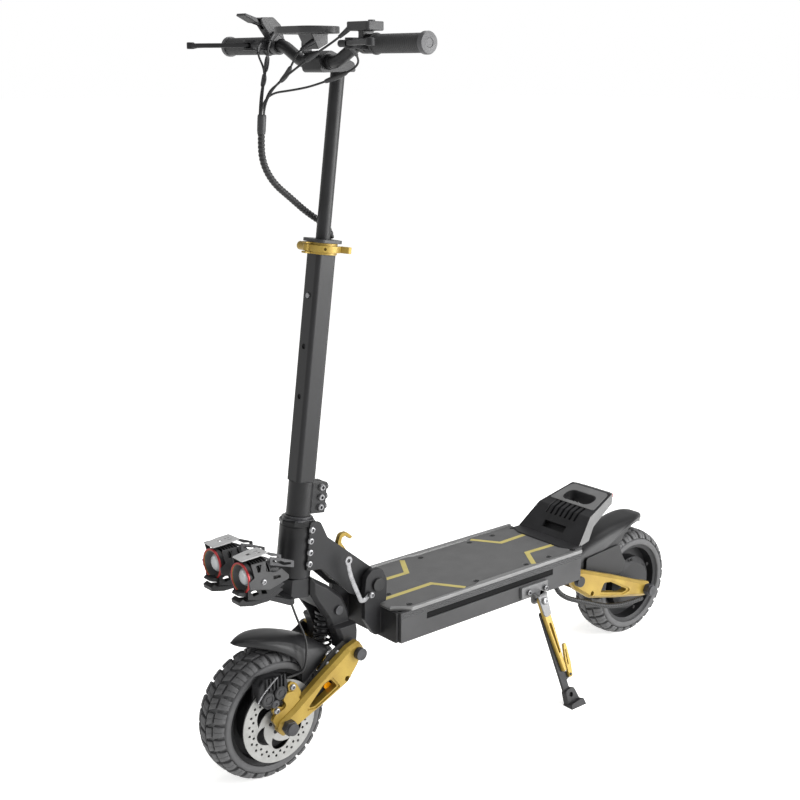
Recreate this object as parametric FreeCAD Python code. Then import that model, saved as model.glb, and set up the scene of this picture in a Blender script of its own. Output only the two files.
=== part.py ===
import FreeCAD, Part
import math
import os

# Dual-motor electric kick scooter. Millimetres. +X points forward, +Y to the rider's left, +Z up.
# The origin is on the ground, midway between the axles and on the centre plane.
os.makedirs("parts", exist_ok=True)
V = FreeCAD.Vector

# ---- driving sizes: wheels ----
wheelbase = 1036.0
tyre_radius = 127.5
tyre_half_width = 40.0
tyre_flat = 24.0            # half width of the flat crown that meets the road
tyre_wall = 7.0
bead_height = 4.0
rim_radius = 92.0           # bead seat
rim_half_width = 31.0
rim_wall = 6.0
motor_radius = 64.0
motor_wall = 6.0
motor_cover_bulge = 9.0
axle_radius = 8.0
axle_end = 101.0            # half length over the end caps
axle_cap_radius = 15.0
rotor_radius = 81.0
rotor_thickness = 2.4
rotor_plane = 55.0          # distance of the brake disc from the centre plane
tab_plane = 67.0            # where the caliper meets its tab
running_gap = 0.05          # radial play of a shaft in its bore
clear = 0.5                 # plain gap between pieces that move on each other

# ---- driving sizes: deck ----
deck_front = 267.0
deck_rear = -250.0
deck_half_width = 110.0
deck_floor = 228.0
deck_depth = 62.0
deck_wall = 4.0
cover_thickness = 4.0
trim_height = 3.5
cover_screw_radius = 4.5
cover_screw_recess = 2.4    # depth of the counterbore that hides each screw head
cover_screws = [(229, 24), (229, 89), (45, 86), (-100, 87), (-170, 86), (-240, 92)]
trim_width = 7.0
trim_waist = 13.0           # trim width along the narrow middle of the cover
end_plate = 7.0
groove_depth = 5.0
groove_low = 262.0
groove_height = 13.0
strip_front = 200.0
strip_rear = -160.0

# ---- driving sizes: neck, column and bars ----
hinge_ahead = 15.0          # fold pin ahead of the deck box
hinge_above = 49.0          # fold pin above the deck box
fold_pin_radius = 8.0
ear_inner = 45.0
ear_thickness = 12.0
neck_plate_inner = 32.0
neck_plate_thickness = 6.0
rake = 7.19                 # degrees that the steering axis leans back
foot_ahead = 165.6          # steering axis at the crown's underside, from the fold pin
foot_above = 6.0
head_radius = 33.0
steerer_radius = 14.0
bearing_width = 12.0
bearing_gap = 0.3           # between the crown's seat and the lower bearing
crown_height = 37.0
head_low = 38.5             # along the steering axis from the crown's underside
head_high = 147.0
column_low = 156.0
column_clamp_high = 221.0
column_high = 646.0
column_half_depth = 21.5
column_half_width = 19.5
column_corner = 8.0
upper_radius = 13.0
upper_wall = 2.5
upper_low = 430.0
stem_drop = 12.6            # top of the sliding tube below the bar's middle
stem_half_width = 27.0
bar_radius = 11.0
bar_middle_radius = 13.0
bar_middle_half = 36.0      # half length of the thick middle
bar_bend = 60.0
bar_bend_y = 106.0
bar_half_length = 276.0
bar_ahead = 45.0            # bar ahead of the steering axis
bar_height = 1347.0
bar_dip = 29.0
grip_radius = 16.0
grip_inner = 153.0
grip_outer = 276.0
plug_radius = 18.6
plug_thickness = 11.0
lever_pivot_y = 150.0
lever_pivot_ahead = 48.0
loom_radius = 6.5
lead_radius = 2.2
lead_ring = 4.0             # radius of the circle of leads where they enter the loom

# ---- driving sizes: suspension ----
arm_inner = 65.0
arm_thickness = 18.0
arm_bevel = 6.5
arm_recess = 2.5            # depth of the step round each arm window
pivot_radius = 9.0
front_pivot_behind_foot = 96.6
front_pivot_below_foot = 120.0
rear_pivot_behind_deck = 22.0
rear_pivot_below_floor = 17.0
crown_half_width = 28.0
carm_half_width = 38.0
carm_low_half_width = 58.0
carm_bevel = 7.0
carm_step = 48.0            # the broad foot ends this far above the pivot
fender_half_width = 48.5
rear_fender_half_width = 44.5
fender_shoulder = 24.0
fender_wall = 2.5
fender_depth = 190.0
shock_notch = 28.0          # half width of the gap in the rear mudguard's nose
shock_radius = 13.0
shock_rod_radius = 6.0
spring_radius = 19.5
spring_wire = 5.5
spring_turns = 5
shock_eye_radius = 12.0
shock_eye_half_width = 11.0
shock_bolt_radius = 5.0
eye_slack = 1.2             # play left in each shock's lower eye

# ---- places worked out from the sizes above ----
deck_top = deck_floor + deck_depth
front_axle = V(wheelbase / 2, 0, tyre_radius)
rear_axle = V(-wheelbase / 2, 0, tyre_radius)
fold_pin = V(deck_front + hinge_ahead, 0, deck_top + hinge_above)
foot = fold_pin + V(foot_ahead, 0, foot_above)
front_pivot = foot + V(-front_pivot_behind_foot, 0, -front_pivot_below_foot)
rear_pivot = V(deck_rear - rear_pivot_behind_deck, 0, deck_floor - rear_pivot_below_floor)
column_turn = FreeCAD.Rotation(V(0, 1, 0), -rake)
column_place = FreeCAD.Placement(foot, column_turn)
lean = math.tan(math.radians(rake))
upper_high = (bar_height - bar_dip - stem_drop - foot.z) / math.cos(math.radians(rake))
bar_centre = V(foot.x - lean * (bar_height - foot.z) + bar_ahead, 0, bar_height)
ear_outer = ear_inner + ear_thickness
arm_outer = arm_inner + arm_thickness
neck_outer = neck_plate_inner + neck_plate_thickness


# ---- shape helpers ----
def box(low, high):
    """A block between two corners."""
    size = V(*high) - V(*low)
    return Part.makeBox(size.x, size.y, size.z, V(*low))


def rod(start, end, radius):
    """A round bar from start to end."""
    run = V(*end) - V(*start)
    return Part.makeCylinder(radius, run.Length, V(*start), run)


def pipe(start, end, radius, bore):
    """A round tube from start to end."""
    return rod(start, end, radius).cut(rod(start, end, bore))


def corner_edges(points):
    """Lines and arcs round a closed outline; each point is a place and the radius of its corner."""
    stops = []
    for i, (at, radius) in enumerate(points):
        before = (points[i - 1][0] - at)
        after = (points[(i + 1) % len(points)][0] - at)
        before.normalize()
        after.normalize()
        if radius == 0:
            stops.append((at, at, at))
            continue
        half = before.getAngle(after) / 2
        reach = radius / math.tan(half)
        middle = before + after
        middle.normalize()
        centre = at + middle * (radius / math.sin(half))
        stops.append((at + before * reach, centre - middle * radius, at + after * reach))
    edges = []
    for i, (start, middle, end) in enumerate(stops):
        if (end - start).Length > 1e-6:
            edges.append(Part.Arc(start, middle, end).toShape())
        after = stops[(i + 1) % len(stops)][0]
        if (after - end).Length > 1e-6:
            edges.append(Part.LineSegment(end, after).toShape())
    return edges


def plate(points, low, high, across="y"):
    """A plate with this outline, from low to high along one axis.

    Points are (x, z), (x, y) or (y, z) for a plate across y, z or x, each with a corner radius if it has one.
    """
    lift = {"y": lambda a, b: V(a, low, b), "z": lambda a, b: V(a, b, low), "x": lambda a, b: V(low, a, b)}
    along = {"y": V(0, 1, 0), "z": V(0, 0, 1), "x": V(1, 0, 0)}
    places = [(lift[across](p[0], p[1]), p[2] if len(p) > 2 else 0) for p in points]
    return Part.Face(Part.Wire(corner_edges(places))).extrude(along[across] * (high - low))


def bevelled(slab, face_y, size):
    """The slab with the outline of one of its side faces cut off at 45 degrees."""
    rim = [e for e in slab.Edges if all(abs(v.Y - face_y) < 1e-6 for v in e.Vertexes)]
    return slab.makeChamfer(size, rim)


def both_sides(shape):
    """The shape and its mirror image across the centre plane, as separate solids."""
    return [shape, shape.mirror(V(0, 0, 0), V(0, 1, 0))]


def join(shapes):
    """One solid out of pieces that touch."""
    return shapes[0].fuse(shapes[1:]).removeSplitter()


def trim(shape, cutters):
    """The shape with the cutters taken out."""
    return shape.cut(Part.makeCompound(cutters)) if len(cutters) > 1 else shape.cut(cutters[0])


def turned(profile, centre):
    """A ring or wheel from a (radius, y) outline, turned about the cross axis through centre."""
    points = [V(centre.x + r, y, centre.z) for r, y in profile]
    face = Part.Face(Part.makePolygon(points + points[:1]))
    return face.revolve(V(centre.x, 0, centre.z), V(0, 1, 0), 360)


def leaned(shapes):
    """Pieces drawn upright about the steering axis, put in their real place."""
    moved = []
    for shape in shapes:
        copy = shape.copy()
        copy.Placement = column_place.multiply(copy.Placement)
        moved.append(copy)
    return moved


def column_point(ahead, side, along):
    """Where a point of the upright column drawing lies on the scooter."""
    return column_place.multVec(V(ahead, side, along))


def hexagon(start, end, radius):
    """A six-sided bar from start to end."""
    run = V(*end) - V(*start)
    points = [V(radius * math.cos(math.radians(60 * i)), radius * math.sin(math.radians(60 * i)),
                0) for i in range(6)]
    bar = Part.Face(Part.makePolygon(points + points[:1])).extrude(V(0, 0, run.Length))
    bar.Placement = FreeCAD.Placement(V(*start), FreeCAD.Rotation(V(0, 0, 1), run))
    return bar


def screw(seat, outward, radius, height):
    """A domed screw head standing on a surface, with a hexagon socket."""
    out = V(*outward)
    out.normalize()
    head = rod(V(*seat), V(*seat) + out * height, radius)
    return head.cut(hexagon(V(*seat) + out * height * 0.4, V(*seat) + out * (height + 1), radius * 0.5))


def cable(points, radius, report, largest_bend=None):
    """A round cable along straight runs and tangent arcs, each arc as large as its two runs or the limit allow."""
    places = [V(*p) for p in points]
    edges = []
    at = places[0]
    tightest = 1e9
    for i in range(1, len(places) - 1):
        back = places[i - 1] - places[i]
        on = places[i + 1] - places[i]
        reach = 0.45 * min(back.Length, on.Length)
        half_turn = (math.pi - back.getAngle(on)) / 2
        if largest_bend:
            reach = min(reach, largest_bend * math.tan(half_turn))
        tightest = min(tightest, reach / math.tan(half_turn))
        back.normalize()
        on.normalize()
        start = places[i] + back * reach
        end = places[i] + on * reach
        middle = back + on
        middle.normalize()
        bend = reach / math.tan(half_turn)
        centre = places[i] + middle * (bend / math.cos(half_turn))
        edges.append(Part.LineSegment(at, start).toShape())
        edges.append(Part.Arc(start, centre - middle * bend, end).toShape())
        at = end
    edges.append(Part.LineSegment(at, places[-1]).toShape())
    path = Part.Wire(edges)
    run = places[1] - places[0]
    circle = Part.Wire(Part.Circle(places[0], run, radius).toShape())
    tube = path.makePipeShell([circle], True, False)
    expected = math.pi * radius ** 2 * path.Length
    print(f"{report}: length {path.Length:.0f}, tightest bend {tightest:.1f}, volume ratio {tube.Volume / expected:.4f}")
    return tube


def save(node, shapes):
    """Write one node's solids."""
    solids = []
    for shape in shapes:
        solids += shape.Solids
    whole = solids[0] if len(solids) == 1 else Part.makeCompound(solids)
    whole.exportStep(f"parts/{node}.step")


# ---- wheels ----
def tyre(axle):
    """Hollow tyre, open at the rim, with a flat crown."""
    shoulder = tyre_radius - 8.5
    waist = (rim_radius + tyre_radius) / 2 - 2
    outer = [
        (rim_radius, -rim_half_width), (rim_radius + bead_height, -rim_half_width),
        (waist, -tyre_half_width), (shoulder, -tyre_half_width + 3),
        (tyre_radius, -tyre_flat), (tyre_radius, tyre_flat), (shoulder, tyre_half_width - 3),
        (waist, tyre_half_width), (rim_radius + bead_height, rim_half_width), (rim_radius, rim_half_width),
    ]
    inner = [
        (rim_radius, rim_half_width - tyre_wall), (waist, tyre_half_width - tyre_wall),
        (tyre_radius - 2 * tyre_wall, tyre_flat), (tyre_radius - 2 * tyre_wall, -tyre_flat),
        (waist, -tyre_half_width + tyre_wall), (rim_radius, -rim_half_width + tyre_wall),
    ]
    return turned(outer + inner, axle)


def hub_motor(axle, disc_side):
    """Motor shell and rim in one casting, hollow for the stator, with a boss for the brake disc."""
    shell_y = rim_half_width + motor_cover_bulge
    barrel = turned([
        (rim_radius - rim_wall, -rim_half_width), (rim_radius + 3, -rim_half_width - 3),
        (rim_radius + 3, -rim_half_width - clear), (rim_radius, -rim_half_width - clear),
        (rim_radius - clear, -rim_half_width), (rim_radius - clear, rim_half_width),
        (rim_radius, rim_half_width + clear), (rim_radius + 3, rim_half_width + clear),
        (rim_radius + 3, rim_half_width + 3), (rim_radius - rim_wall, rim_half_width),
    ], axle)
    web = turned([(motor_radius - 1, -6), (rim_radius - rim_wall + 1, -6),
                  (rim_radius - rim_wall + 1, 6), (motor_radius - 1, 6)], axle)
    drum = turned([
        (axle_radius + running_gap, -shell_y), (motor_radius - 14, -shell_y), (motor_radius, -rim_half_width),
        (motor_radius, rim_half_width), (motor_radius - 14, shell_y), (axle_radius + running_gap, shell_y),
        (axle_radius + running_gap, shell_y - motor_wall), (motor_radius - 16, shell_y - motor_wall),
        (motor_radius - motor_wall, rim_half_width - 3), (motor_radius - motor_wall, -rim_half_width + 3),
        (motor_radius - 16, -shell_y + motor_wall), (axle_radius + running_gap, -shell_y + motor_wall),
    ], axle)
    near = V(axle.x, 0, axle.z)
    low, high = sorted([disc_side * (shell_y - 1), disc_side * (rotor_plane - rotor_thickness / 2)])
    boss = pipe(near + V(0, low, 0), near + V(0, high, 0), 24, axle_radius + 4)
    return join([barrel, web, drum, boss])


def brake_disc(axle, side):
    """Ventilated brake disc with paired holes at its rim and curved windows inside."""
    low = side * rotor_plane - rotor_thickness / 2
    centre = V(axle.x, low, axle.z)
    disc = Part.makeCylinder(rotor_radius, rotor_thickness, centre, V(0, 1, 0))
    cutters = [Part.makeCylinder(axle_radius + 6, rotor_thickness + 2, centre - V(0, 1, 0), V(0, 1, 0))]
    for i in range(6):
        a = math.radians(60 * i)
        points = [(0.34, 0.0), (0.68, -0.30), (0.72, 0.28)]
        outline = [(axle.x + rotor_radius * r * math.cos(a + t),
                    axle.z + rotor_radius * r * math.sin(a + t), 4)
                   for r, t in points]
        cutters.append(plate(outline, low - 1, low + rotor_thickness + 1))
    for i in range(24):
        a = math.radians(15 * i)
        r = rotor_radius * (0.91 if i % 2 else 0.83)
        at = V(axle.x + r * math.cos(a), low - 1, axle.z + r * math.sin(a))
        cutters.append(Part.makeCylinder(2.4, rotor_thickness + 2, at, V(0, 1, 0)))
    return trim(disc, cutters)


def axle_and_stator(axle):
    """Fixed axle with its end nuts and caps, and the motor's stator core on it."""
    mid = V(axle.x, 0, axle.z)
    shaft = rod(mid - V(0, axle_end - 4, 0), mid + V(0, axle_end - 4, 0), axle_radius)
    core = rod(mid - V(0, 20, 0), mid + V(0, 20, 0), motor_radius - motor_wall - 7)
    pieces = [shaft, core]
    for side in (-1, 1):
        nut = hexagon(mid + V(0, side * arm_outer, 0), mid + V(0, side * (axle_end - 5), 0), axle_cap_radius)
        cap = rod(mid + V(0, side * (axle_end - 5), 0), mid + V(0, side * axle_end, 0), axle_cap_radius - 3)
        pieces += [nut, cap]
    return join(pieces)


def caliper(axle, side, reach, lift):
    """Brake caliper astride the disc, with its two ears on the arm side."""
    outline = [(-38, 8, 5), (-14, -24, 6), (26, -30, 8), (42, -4, 8), (26, 34, 8), (-12, 36, 8), (-36, 26, 6)]
    middle = V(axle.x + reach, 0, axle.z + lift)
    flip = 1 if reach > 0 else -1
    points = [(middle.x + flip * a, middle.z + b, r) for a, b, r in outline]
    low, high = sorted([side * 45.5, side * tab_plane])
    body = plate(points, low, high)
    near, far = sorted([side * (rotor_plane - 3.2), side * (rotor_plane + 3.2)])
    slot = Part.makeCylinder(rotor_radius + 4, far - near, V(axle.x, near, axle.z), V(0, 1, 0))
    low, high = sorted([side * 64.0, side * 76.0])
    piston = rod(V(middle.x, low, middle.z), V(middle.x, high, middle.z), 15)
    return join([body.cut(slot), piston])


# ---- swing arms ----
def arm_frame(pivot, axle):
    """Maps distances along and across the line from pivot to axle onto the side view."""
    along = V(axle.x - pivot.x, 0, axle.z - pivot.z)
    length = along.Length
    along.normalize()
    across = V(0, 0, 1) - along * along.z
    across.normalize()
    return pivot, along, across, length


def arm_outline(frame, points):
    """Side-view outline from (share of the arm's length, extra mm along it, mm across it, corner radius)."""
    pivot, along, across, length = frame
    outline = []
    for share, extra, off, radius in points:
        at = pivot + along * (share * length + extra) + across * off
        outline.append((at.x, at.z, radius))
    return outline


def swing_arm(pivot, axle, tab_side, bridge):
    """Two forged side plates with a window each, joined by a bridge ahead of the tyre."""
    frame = arm_frame(pivot, axle)
    body = arm_outline(frame, [
        (0, -15, 18, 8), (0, 12, 24, 9), (0.5, 0, 21, 30), (1, -24, 16, 12), (1, 8, 17, 10), (1, 19, 4, 7),
        (1, 17, -14, 8), (1, -6, -19, 10), (0.58, 0, -30, 20), (0.24, 0, -37, 10), (0, 12, -24, 10), (0, -17, -6, 8),
    ])
    window = arm_outline(frame, [(0.36, 0, -21, 3), (0.38, 0, 2, 5), (0.47, 0, 6, 4), (0.74, 0, -7, 3),
                                 (0.66, 0, -16, 3)])
    ledge = arm_outline(frame, [(0.34, 0, -26, 3), (0.36, 0, 5, 5), (0.47, 0, 10, 5), (0.78, 0, -5, 4),
                                (0.67, 0, -20, 4)])
    left = bevelled(plate(body, arm_inner, arm_outer), arm_outer, arm_bevel)
    left = left.cut(plate(window, arm_inner - 1, arm_outer + 1))
    left = left.cut(plate(ledge, arm_outer - arm_recess, arm_outer + 1))
    sides = both_sides(left)
    reach = V(0, arm_outer + 1, 0)
    cutters = [rod(pivot - reach, pivot + reach, pivot_radius + running_gap)]
    cutters.append(rod(axle - reach, axle + reach, axle_radius))
    low_hole = arm_outline(frame, [(0.24, 0, -25, 0)])[0]
    hole = V(low_hole[0], 0, low_hole[1])
    cutters.append(rod(hole - reach, hole + reach, 5.5))
    pieces = sides + [plate(bridge, -arm_inner - 1, arm_inner + 1)]
    if tab_side:
        low, high = sorted([tab_side * tab_plane, tab_side * (tab_plane + 8)])
        tab = arm_outline(frame, [
            (1, -50, 10, 4), (1, -50, 42, 8), (1, -34, 53, 8), (1, -22, 46, 6), (1, -24, 28, 8),
            (1, 4, 34, 8), (1, 16, 30, 6), (1, 16, 8, 4),
        ])
        pieces.append(plate(tab, low, high))
    return trim(join(pieces), cutters)


def shock_body(top, bottom):
    """Damper body with its upper eye and spring seat."""
    run = bottom - top
    run.normalize()
    length = (bottom - top).Length
    across = V(0, shock_eye_half_width, 0)
    eye = rod(top - across, top + across, shock_eye_radius)
    seat = rod(top + run * 14, top + run * 19, spring_radius + 1.5)
    barrel = rod(top + run * 6, top + run * (length * 0.55), shock_radius)
    body = join([eye, seat, barrel])
    bore = rod(top + run * 24, top + run * (length * 0.55 + 1), shock_rod_radius + running_gap)
    pin = rod(top - across * 2, top + across * 2, shock_bolt_radius + running_gap)
    return trim(body, [bore, pin])


def shock_rod(top, bottom, travel):
    """Damper rod with the lower spring seat and eye."""
    run = bottom - top
    run.normalize()
    length = (bottom - top).Length
    across = V(0, shock_eye_half_width, 0)
    shaft = rod(top + run * (26 + travel), bottom, shock_rod_radius)
    seat = rod(bottom - run * 19, bottom - run * 14, spring_radius + 1.5)
    neck = rod(bottom - run * 15, bottom - run * 5, shock_eye_radius - 2)
    eye = rod(bottom - across, bottom + across, shock_eye_radius)
    print(f"shock length {length:.1f}")
    return join([shaft, seat, neck, eye]).cut(rod(bottom - across * 2, bottom + across * 2,
                                                  shock_bolt_radius + eye_slack))


def coil_spring(top, bottom):
    """Coil spring between the two seats, drawn as a stack of closed turns on a thin sleeve."""
    run = bottom - top
    run.normalize()
    low = top + run * 19.3
    high = bottom - run * 19.3
    length = (high - low).Length
    inner = shock_radius + 1.2
    profile = [(inner, 0), (inner + 1.2, 0)]
    pitch = length / spring_turns
    for i in range(spring_turns):
        start = pitch * i + (pitch - spring_wire) / 2
        profile += [(inner + 1.2, start), (spring_radius, start + spring_wire * 0.25),
                    (spring_radius, start + spring_wire * 0.75), (inner + 1.2, start + spring_wire)]
    profile += [(inner + 1.2, length), (inner, length)]
    points = [V(r, 0, z) for r, z in profile]
    coil = Part.Face(Part.makePolygon(points + points[:1])).revolve(V(0, 0, 0), V(0, 0, 1), 360)
    coil.Placement = FreeCAD.Placement(low, FreeCAD.Rotation(V(0, 0, 1), run))
    return coil


# ---- fenders ----
def arch_ring(centre, crown, half_width, shoulder, depth):
    """A ring about the cross axis through centre whose section is a flat arch with round shoulders."""
    low = crown - depth
    spots = [(low, -half_width, 0), (crown, -half_width, shoulder), (crown, half_width, shoulder),
             (low, half_width, 0)]
    section = Part.Wire(corner_edges([(V(centre.x + r, y, centre.z), radius) for r, y, radius in spots]))
    return Part.Face(section).revolve(centre, V(0, 1, 0), 360)


def arch_shell(centre, crown, half_width, shoulder, wall):
    """The ring hollowed out from inside."""
    outer = arch_ring(centre, crown, half_width, shoulder, fender_depth)
    return outer.cut(arch_ring(centre, crown - wall, half_width - wall, shoulder - wall, fender_depth))


def front_fender():
    """Front mudguard: a round-shouldered shell with a beak ahead and side skirts that reach the swing arm."""
    a = front_axle
    centre = a + V(34.7, 0, -120.5)
    shell = arch_shell(centre, 282.5, fender_half_width, fender_shoulder, fender_wall)
    side = [(a.x + 66, a.z + 154), (a.x + 60, a.z + 190), (a.x - 130, a.z + 190), (a.x - 122, a.z + 108),
            (a.x - 112, a.z + 88),
            (a.x - 84, a.z + 70), (a.x - 60, a.z + 46), (a.x - 56, a.z + 70), (a.x - 48, a.z + 100),
            (a.x - 28, a.z + 122), (a.x + 6, a.z + 137), (a.x + 34, a.z + 145)]
    beak = [(a.x + 67, 7, 5), (a.x + 52, 27, 24), (a.x + 18, fender_half_width + 1, 30),
            (a.x - 140, fender_half_width + 1, 0)]
    plan = beak + [(x, -y, r) for x, y, r in reversed(beak)]
    shell = shell.common(plate(side, -tyre_radius, tyre_radius)).common(plate(plan, a.z, a.z + 200, "z"))
    foot_outline = [(a.x - 121, a.z + 107), (a.x - 106, a.z + 100), (a.x - 96, a.z + 80),
                    (a.x - 112, a.z + 86)]
    feet = both_sides(plate(foot_outline, fender_half_width - 2, arm_inner - clear))
    return join([shell] + feet)


def rear_fender():
    """Rear mudguard: the same kind of shell, its nose low between the arms and its tail behind the tyre."""
    a = rear_axle
    centre = a + V(38, 0, -64)
    half_width = rear_fender_half_width
    shell = arch_shell(centre, 236.5, half_width, fender_shoulder, fender_wall)
    side = [(a.x + 206, a.z + 104), (a.x + 210, a.z + 190), (a.x - 62, a.z + 190), (a.x - 60, a.z + 138),
            (a.x - 44, a.z + 146),
            (a.x + 5, a.z + 152), (a.x + 20, a.z + 145), (a.x + 38, a.z + 120), (a.x + 50, a.z + 100),
            (a.x + 80, a.z + 86), (a.x + 106, a.z + 78), (a.x + 150, a.z + 90), (a.x + 196, a.z + 100)]
    tail = [(a.x + 240, half_width + 1, 0), (a.x - 20, half_width + 1, 36), (a.x - 62, 20, 20)]
    plan = tail + [(x, -y, r) for x, y, r in reversed(tail)]
    shell = shell.common(plate(side, -tyre_radius, tyre_radius)).common(plate(plan, a.z, a.z + 200, "z"))
    return shell.cut(box((a.x + 152, -shock_notch, a.z), (a.x + 260, shock_notch, a.z + 200)))


# ---- deck ----
def deck_box():
    """Extruded tray with a floor, ribbed side walls and a groove each side for the light strip."""
    outer = box((deck_rear, -deck_half_width, deck_floor), (deck_front, deck_half_width, deck_top))
    cutters = [box((deck_rear + deck_wall, -deck_half_width + deck_wall + groove_depth,
                    deck_floor + deck_wall),
                   (deck_front - deck_wall, deck_half_width - deck_wall - groove_depth, deck_top + 1))]
    for side in (-1, 1):
        low, high = sorted([side * (deck_half_width - groove_depth), side * (deck_half_width + 1)])
        cutters.append(box((strip_rear, low, groove_low), (strip_front, high, groove_low + groove_height)))
        for i in range(3):
            low, high = sorted([side * (deck_half_width - 1), side * (deck_half_width + 1)])
            z = groove_low + groove_height + 3 + 4 * i
            cutters.append(box((deck_rear - 1, low, z), (deck_front + 1, high, z + 1.5)))
    return trim(outer, cutters)


def deck_cover():
    """Standing plate with a raised bevelled trim along each side."""
    low = deck_top
    high = low + cover_thickness
    edge = deck_half_width + 2
    half = [(deck_front + 7, 84), (deck_front - 27, edge), (deck_rear, edge)]
    outline = half + [(x, -y) for x, y in reversed(half)]
    cover = plate([(x, y, 3) for x, y in outline], low, high, "z")
    inner = [(deck_front - 29, edge - trim_width), (66, edge - trim_width), (50, edge - trim_waist),
             (-103, edge - trim_waist), (-119, edge - trim_width), (deck_rear, edge - trim_width)]
    rim = plate([(deck_front + 7, 84, 0), (deck_front - 27, edge, 3), (deck_rear, edge, 0)]
                + [(x, y, 0) for x, y in reversed(inner)] + [(deck_front + 1, 80,
                                                              0)], low, high + trim_height, "z")
    counterbores = []
    for x, y in cover_screws:
        counterbores += both_sides(rod((x, y, high - cover_screw_recess), (x, y, high + 1),
                                       cover_screw_radius + 2))
    return trim(join([cover] + both_sides(rim)), counterbores)


def deck_lights():
    """Black light strips in the side grooves, and the red lamp at the back of the footrest."""
    strips = []
    for side in (-1, 1):
        low, high = sorted([side * (deck_half_width - groove_depth), side * (deck_half_width - 1)])
        strips.append(box((strip_rear + clear, low, groove_low + clear),
                          (strip_front - clear, high, groove_low + groove_height - clear)))
    back = deck_rear - 168.5
    lamp = plate([(back, -44), (back - 5, -40), (back - 5, 40), (back, 44)], deck_top + 74, deck_top + 84,
                 "z")
    return strips + [lamp]


def front_bracket():
    """End plate with two clevis ears that carry the fold pin."""
    face = deck_front + end_plate
    end = plate([(-deck_half_width + 6, deck_floor, 4), (deck_half_width - 6, deck_floor, 4),
                 (deck_half_width - 6, deck_top - clear, 4), (-deck_half_width + 6, deck_top - clear,
                                                              4)], deck_front, face, "x")
    h = fold_pin
    ear = [(face, deck_floor + 6, 0), (face + 16, deck_floor + 6, 14), (h.x + 32, h.z - 66, 12),
           (h.x + 32, h.z - 16, 10),
           (h.x + 28, h.z + 20, 14), (h.x + 14, h.z + 32, 12), (h.x - 12, h.z + 30, 12), (h.x - 24, h.z + 4,
                                                                                          12),
           (h.x - 22, deck_top + cover_thickness + trim_height + 1, 4), (face,
                                                                         deck_top + cover_thickness + trim_height + 1, 0)]
    ears = both_sides(plate(ear, ear_inner, ear_outer))
    hole = rod(h - V(0, ear_outer + 5, 0), h + V(0, ear_outer + 5, 0), fold_pin_radius)
    return trim(join([end] + ears), [hole, rod(latch_pin, latch_pin + V(0, ear_outer + 1, 0), 3)])


def deck_fasteners():
    """Fold pin, rear arm pivot, cover screws, kickstand bolts."""
    h = fold_pin
    out = ear_outer
    pin = join([rod(h - V(0, out + 1, 0), h + V(0, out + 1, 0), fold_pin_radius),
                rod(h + V(0, out, 0), h + V(0, out + 5, 0), 13), rod(h - V(0, out + 5, 0), h - V(0, out, 0),
                                                                     13)])
    p = rear_pivot
    end = arm_outer + 0.6
    pivot = join([rod(p - V(0, end + 1, 0), p + V(0, end + 1, 0), pivot_radius),
                  rod(p + V(0, end, 0), p + V(0, end + 11, 0), 12), rod(p - V(0, end + 11, 0),
                                                                        p - V(0, end, 0), 12)])
    t = latch_pin + V(0, ear_outer, 0)
    latch_bolt = join([rod(t - V(0, 8, 0), t + V(0, 5, 0), 3), rod(t + V(0, 4.6, 0), t + V(0, 8, 0), 6)])
    seat = deck_top + cover_thickness - cover_screw_recess
    heads = []
    for x, y in cover_screws:
        heads += both_sides(screw((x, y, seat), (0, 0, 1), cover_screw_radius, cover_screw_recess - clear))
    bolts = [screw((x, kick_face, z), (0, 1, 0), 6.5, 4.5) for x, z in kick_bolts]
    return [pin, pivot, latch_bolt] + heads + bolts


def rear_bracket():
    """Casting behind the deck that holds the arm pivot, the shock and the footrest."""
    back = deck_rear
    p = rear_pivot
    cheek = [(back, deck_floor, 0), (back - 6, deck_floor - 4, 0), (p.x + 8, p.z - 18, 8),
             (p.x - 14, p.z - 14, 10),
             (p.x - 18, p.z + 12, 10), (back - 66, deck_top - 14, 8), (back - 66,
                                                                       deck_top + cover_thickness, 0),
                                                                       (back, deck_top + cover_thickness, 0)]
    cheeks = both_sides(plate(cheek, 30, 44))
    wall = box((back - 8, -62, deck_floor), (back, 62, deck_top + cover_thickness))
    tube = pipe(p - V(0, arm_inner - clear, 0), p + V(0, arm_inner - clear, 0), 16, pivot_radius)
    shape = join(cheeks + [wall, tube])
    reach = V(0, arm_inner, 0)
    return trim(shape, [rod(p - reach, p + reach, pivot_radius),
                        rod(rear_shock_top - reach, rear_shock_top + reach, shock_bolt_radius)])


def footrest():
    """Kick plate: a bent casting with a hand slot, ribs across its bend and a recess below them."""
    b = deck_rear
    z = deck_top + cover_thickness
    profile = [(b - 12, z + 3, 3), (b - 62, z + 54, 8), (b - 154, z + 85, 4), (b - 168, z + 82, 4),
               (b - 168, z + 66, 4),
               (b - 140, z + 56, 12), (b - 78, z + 28, 14), (b - 60, z, 4), (b - 12, z, 1)]
    solid = plate(profile, -92, 92)
    plan = [(b + 2, 92, 0), (b - 10, 92, 6), (b - 62, 77, 8), (b - 154, 60, 10), (b - 168, 50, 8)]
    outline = plan + [(x, -y, r) for x, y, r in reversed(plan)]
    shape = solid.common(plate(outline, z - 10, z + 120, "z"))
    slot = plate([(b - 96, -40, 13), (b - 128, -40, 13), (b - 128, 40, 13), (b - 96, 40, 13)], z, z + 120,
                 "z")
    cutters = [slot]
    for i in range(7):
        y = 14 * (i - 3)
        groove = plate([(b - 44, z + 46), (b - 64, z + 66), (b - 96, z + 76), (b - 96, z + 60),
                        (b - 68, z + 48), (b - 50, z + 34)],
                       y - 3, y + 3)
        cutters.append(groove)
    cutters.append(plate([(b - 18, z + 20), (b - 30, z + 32), (b - 44, z + 18), (b - 32, z + 6)], -32, 32))
    return trim(shape, cutters)


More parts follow.
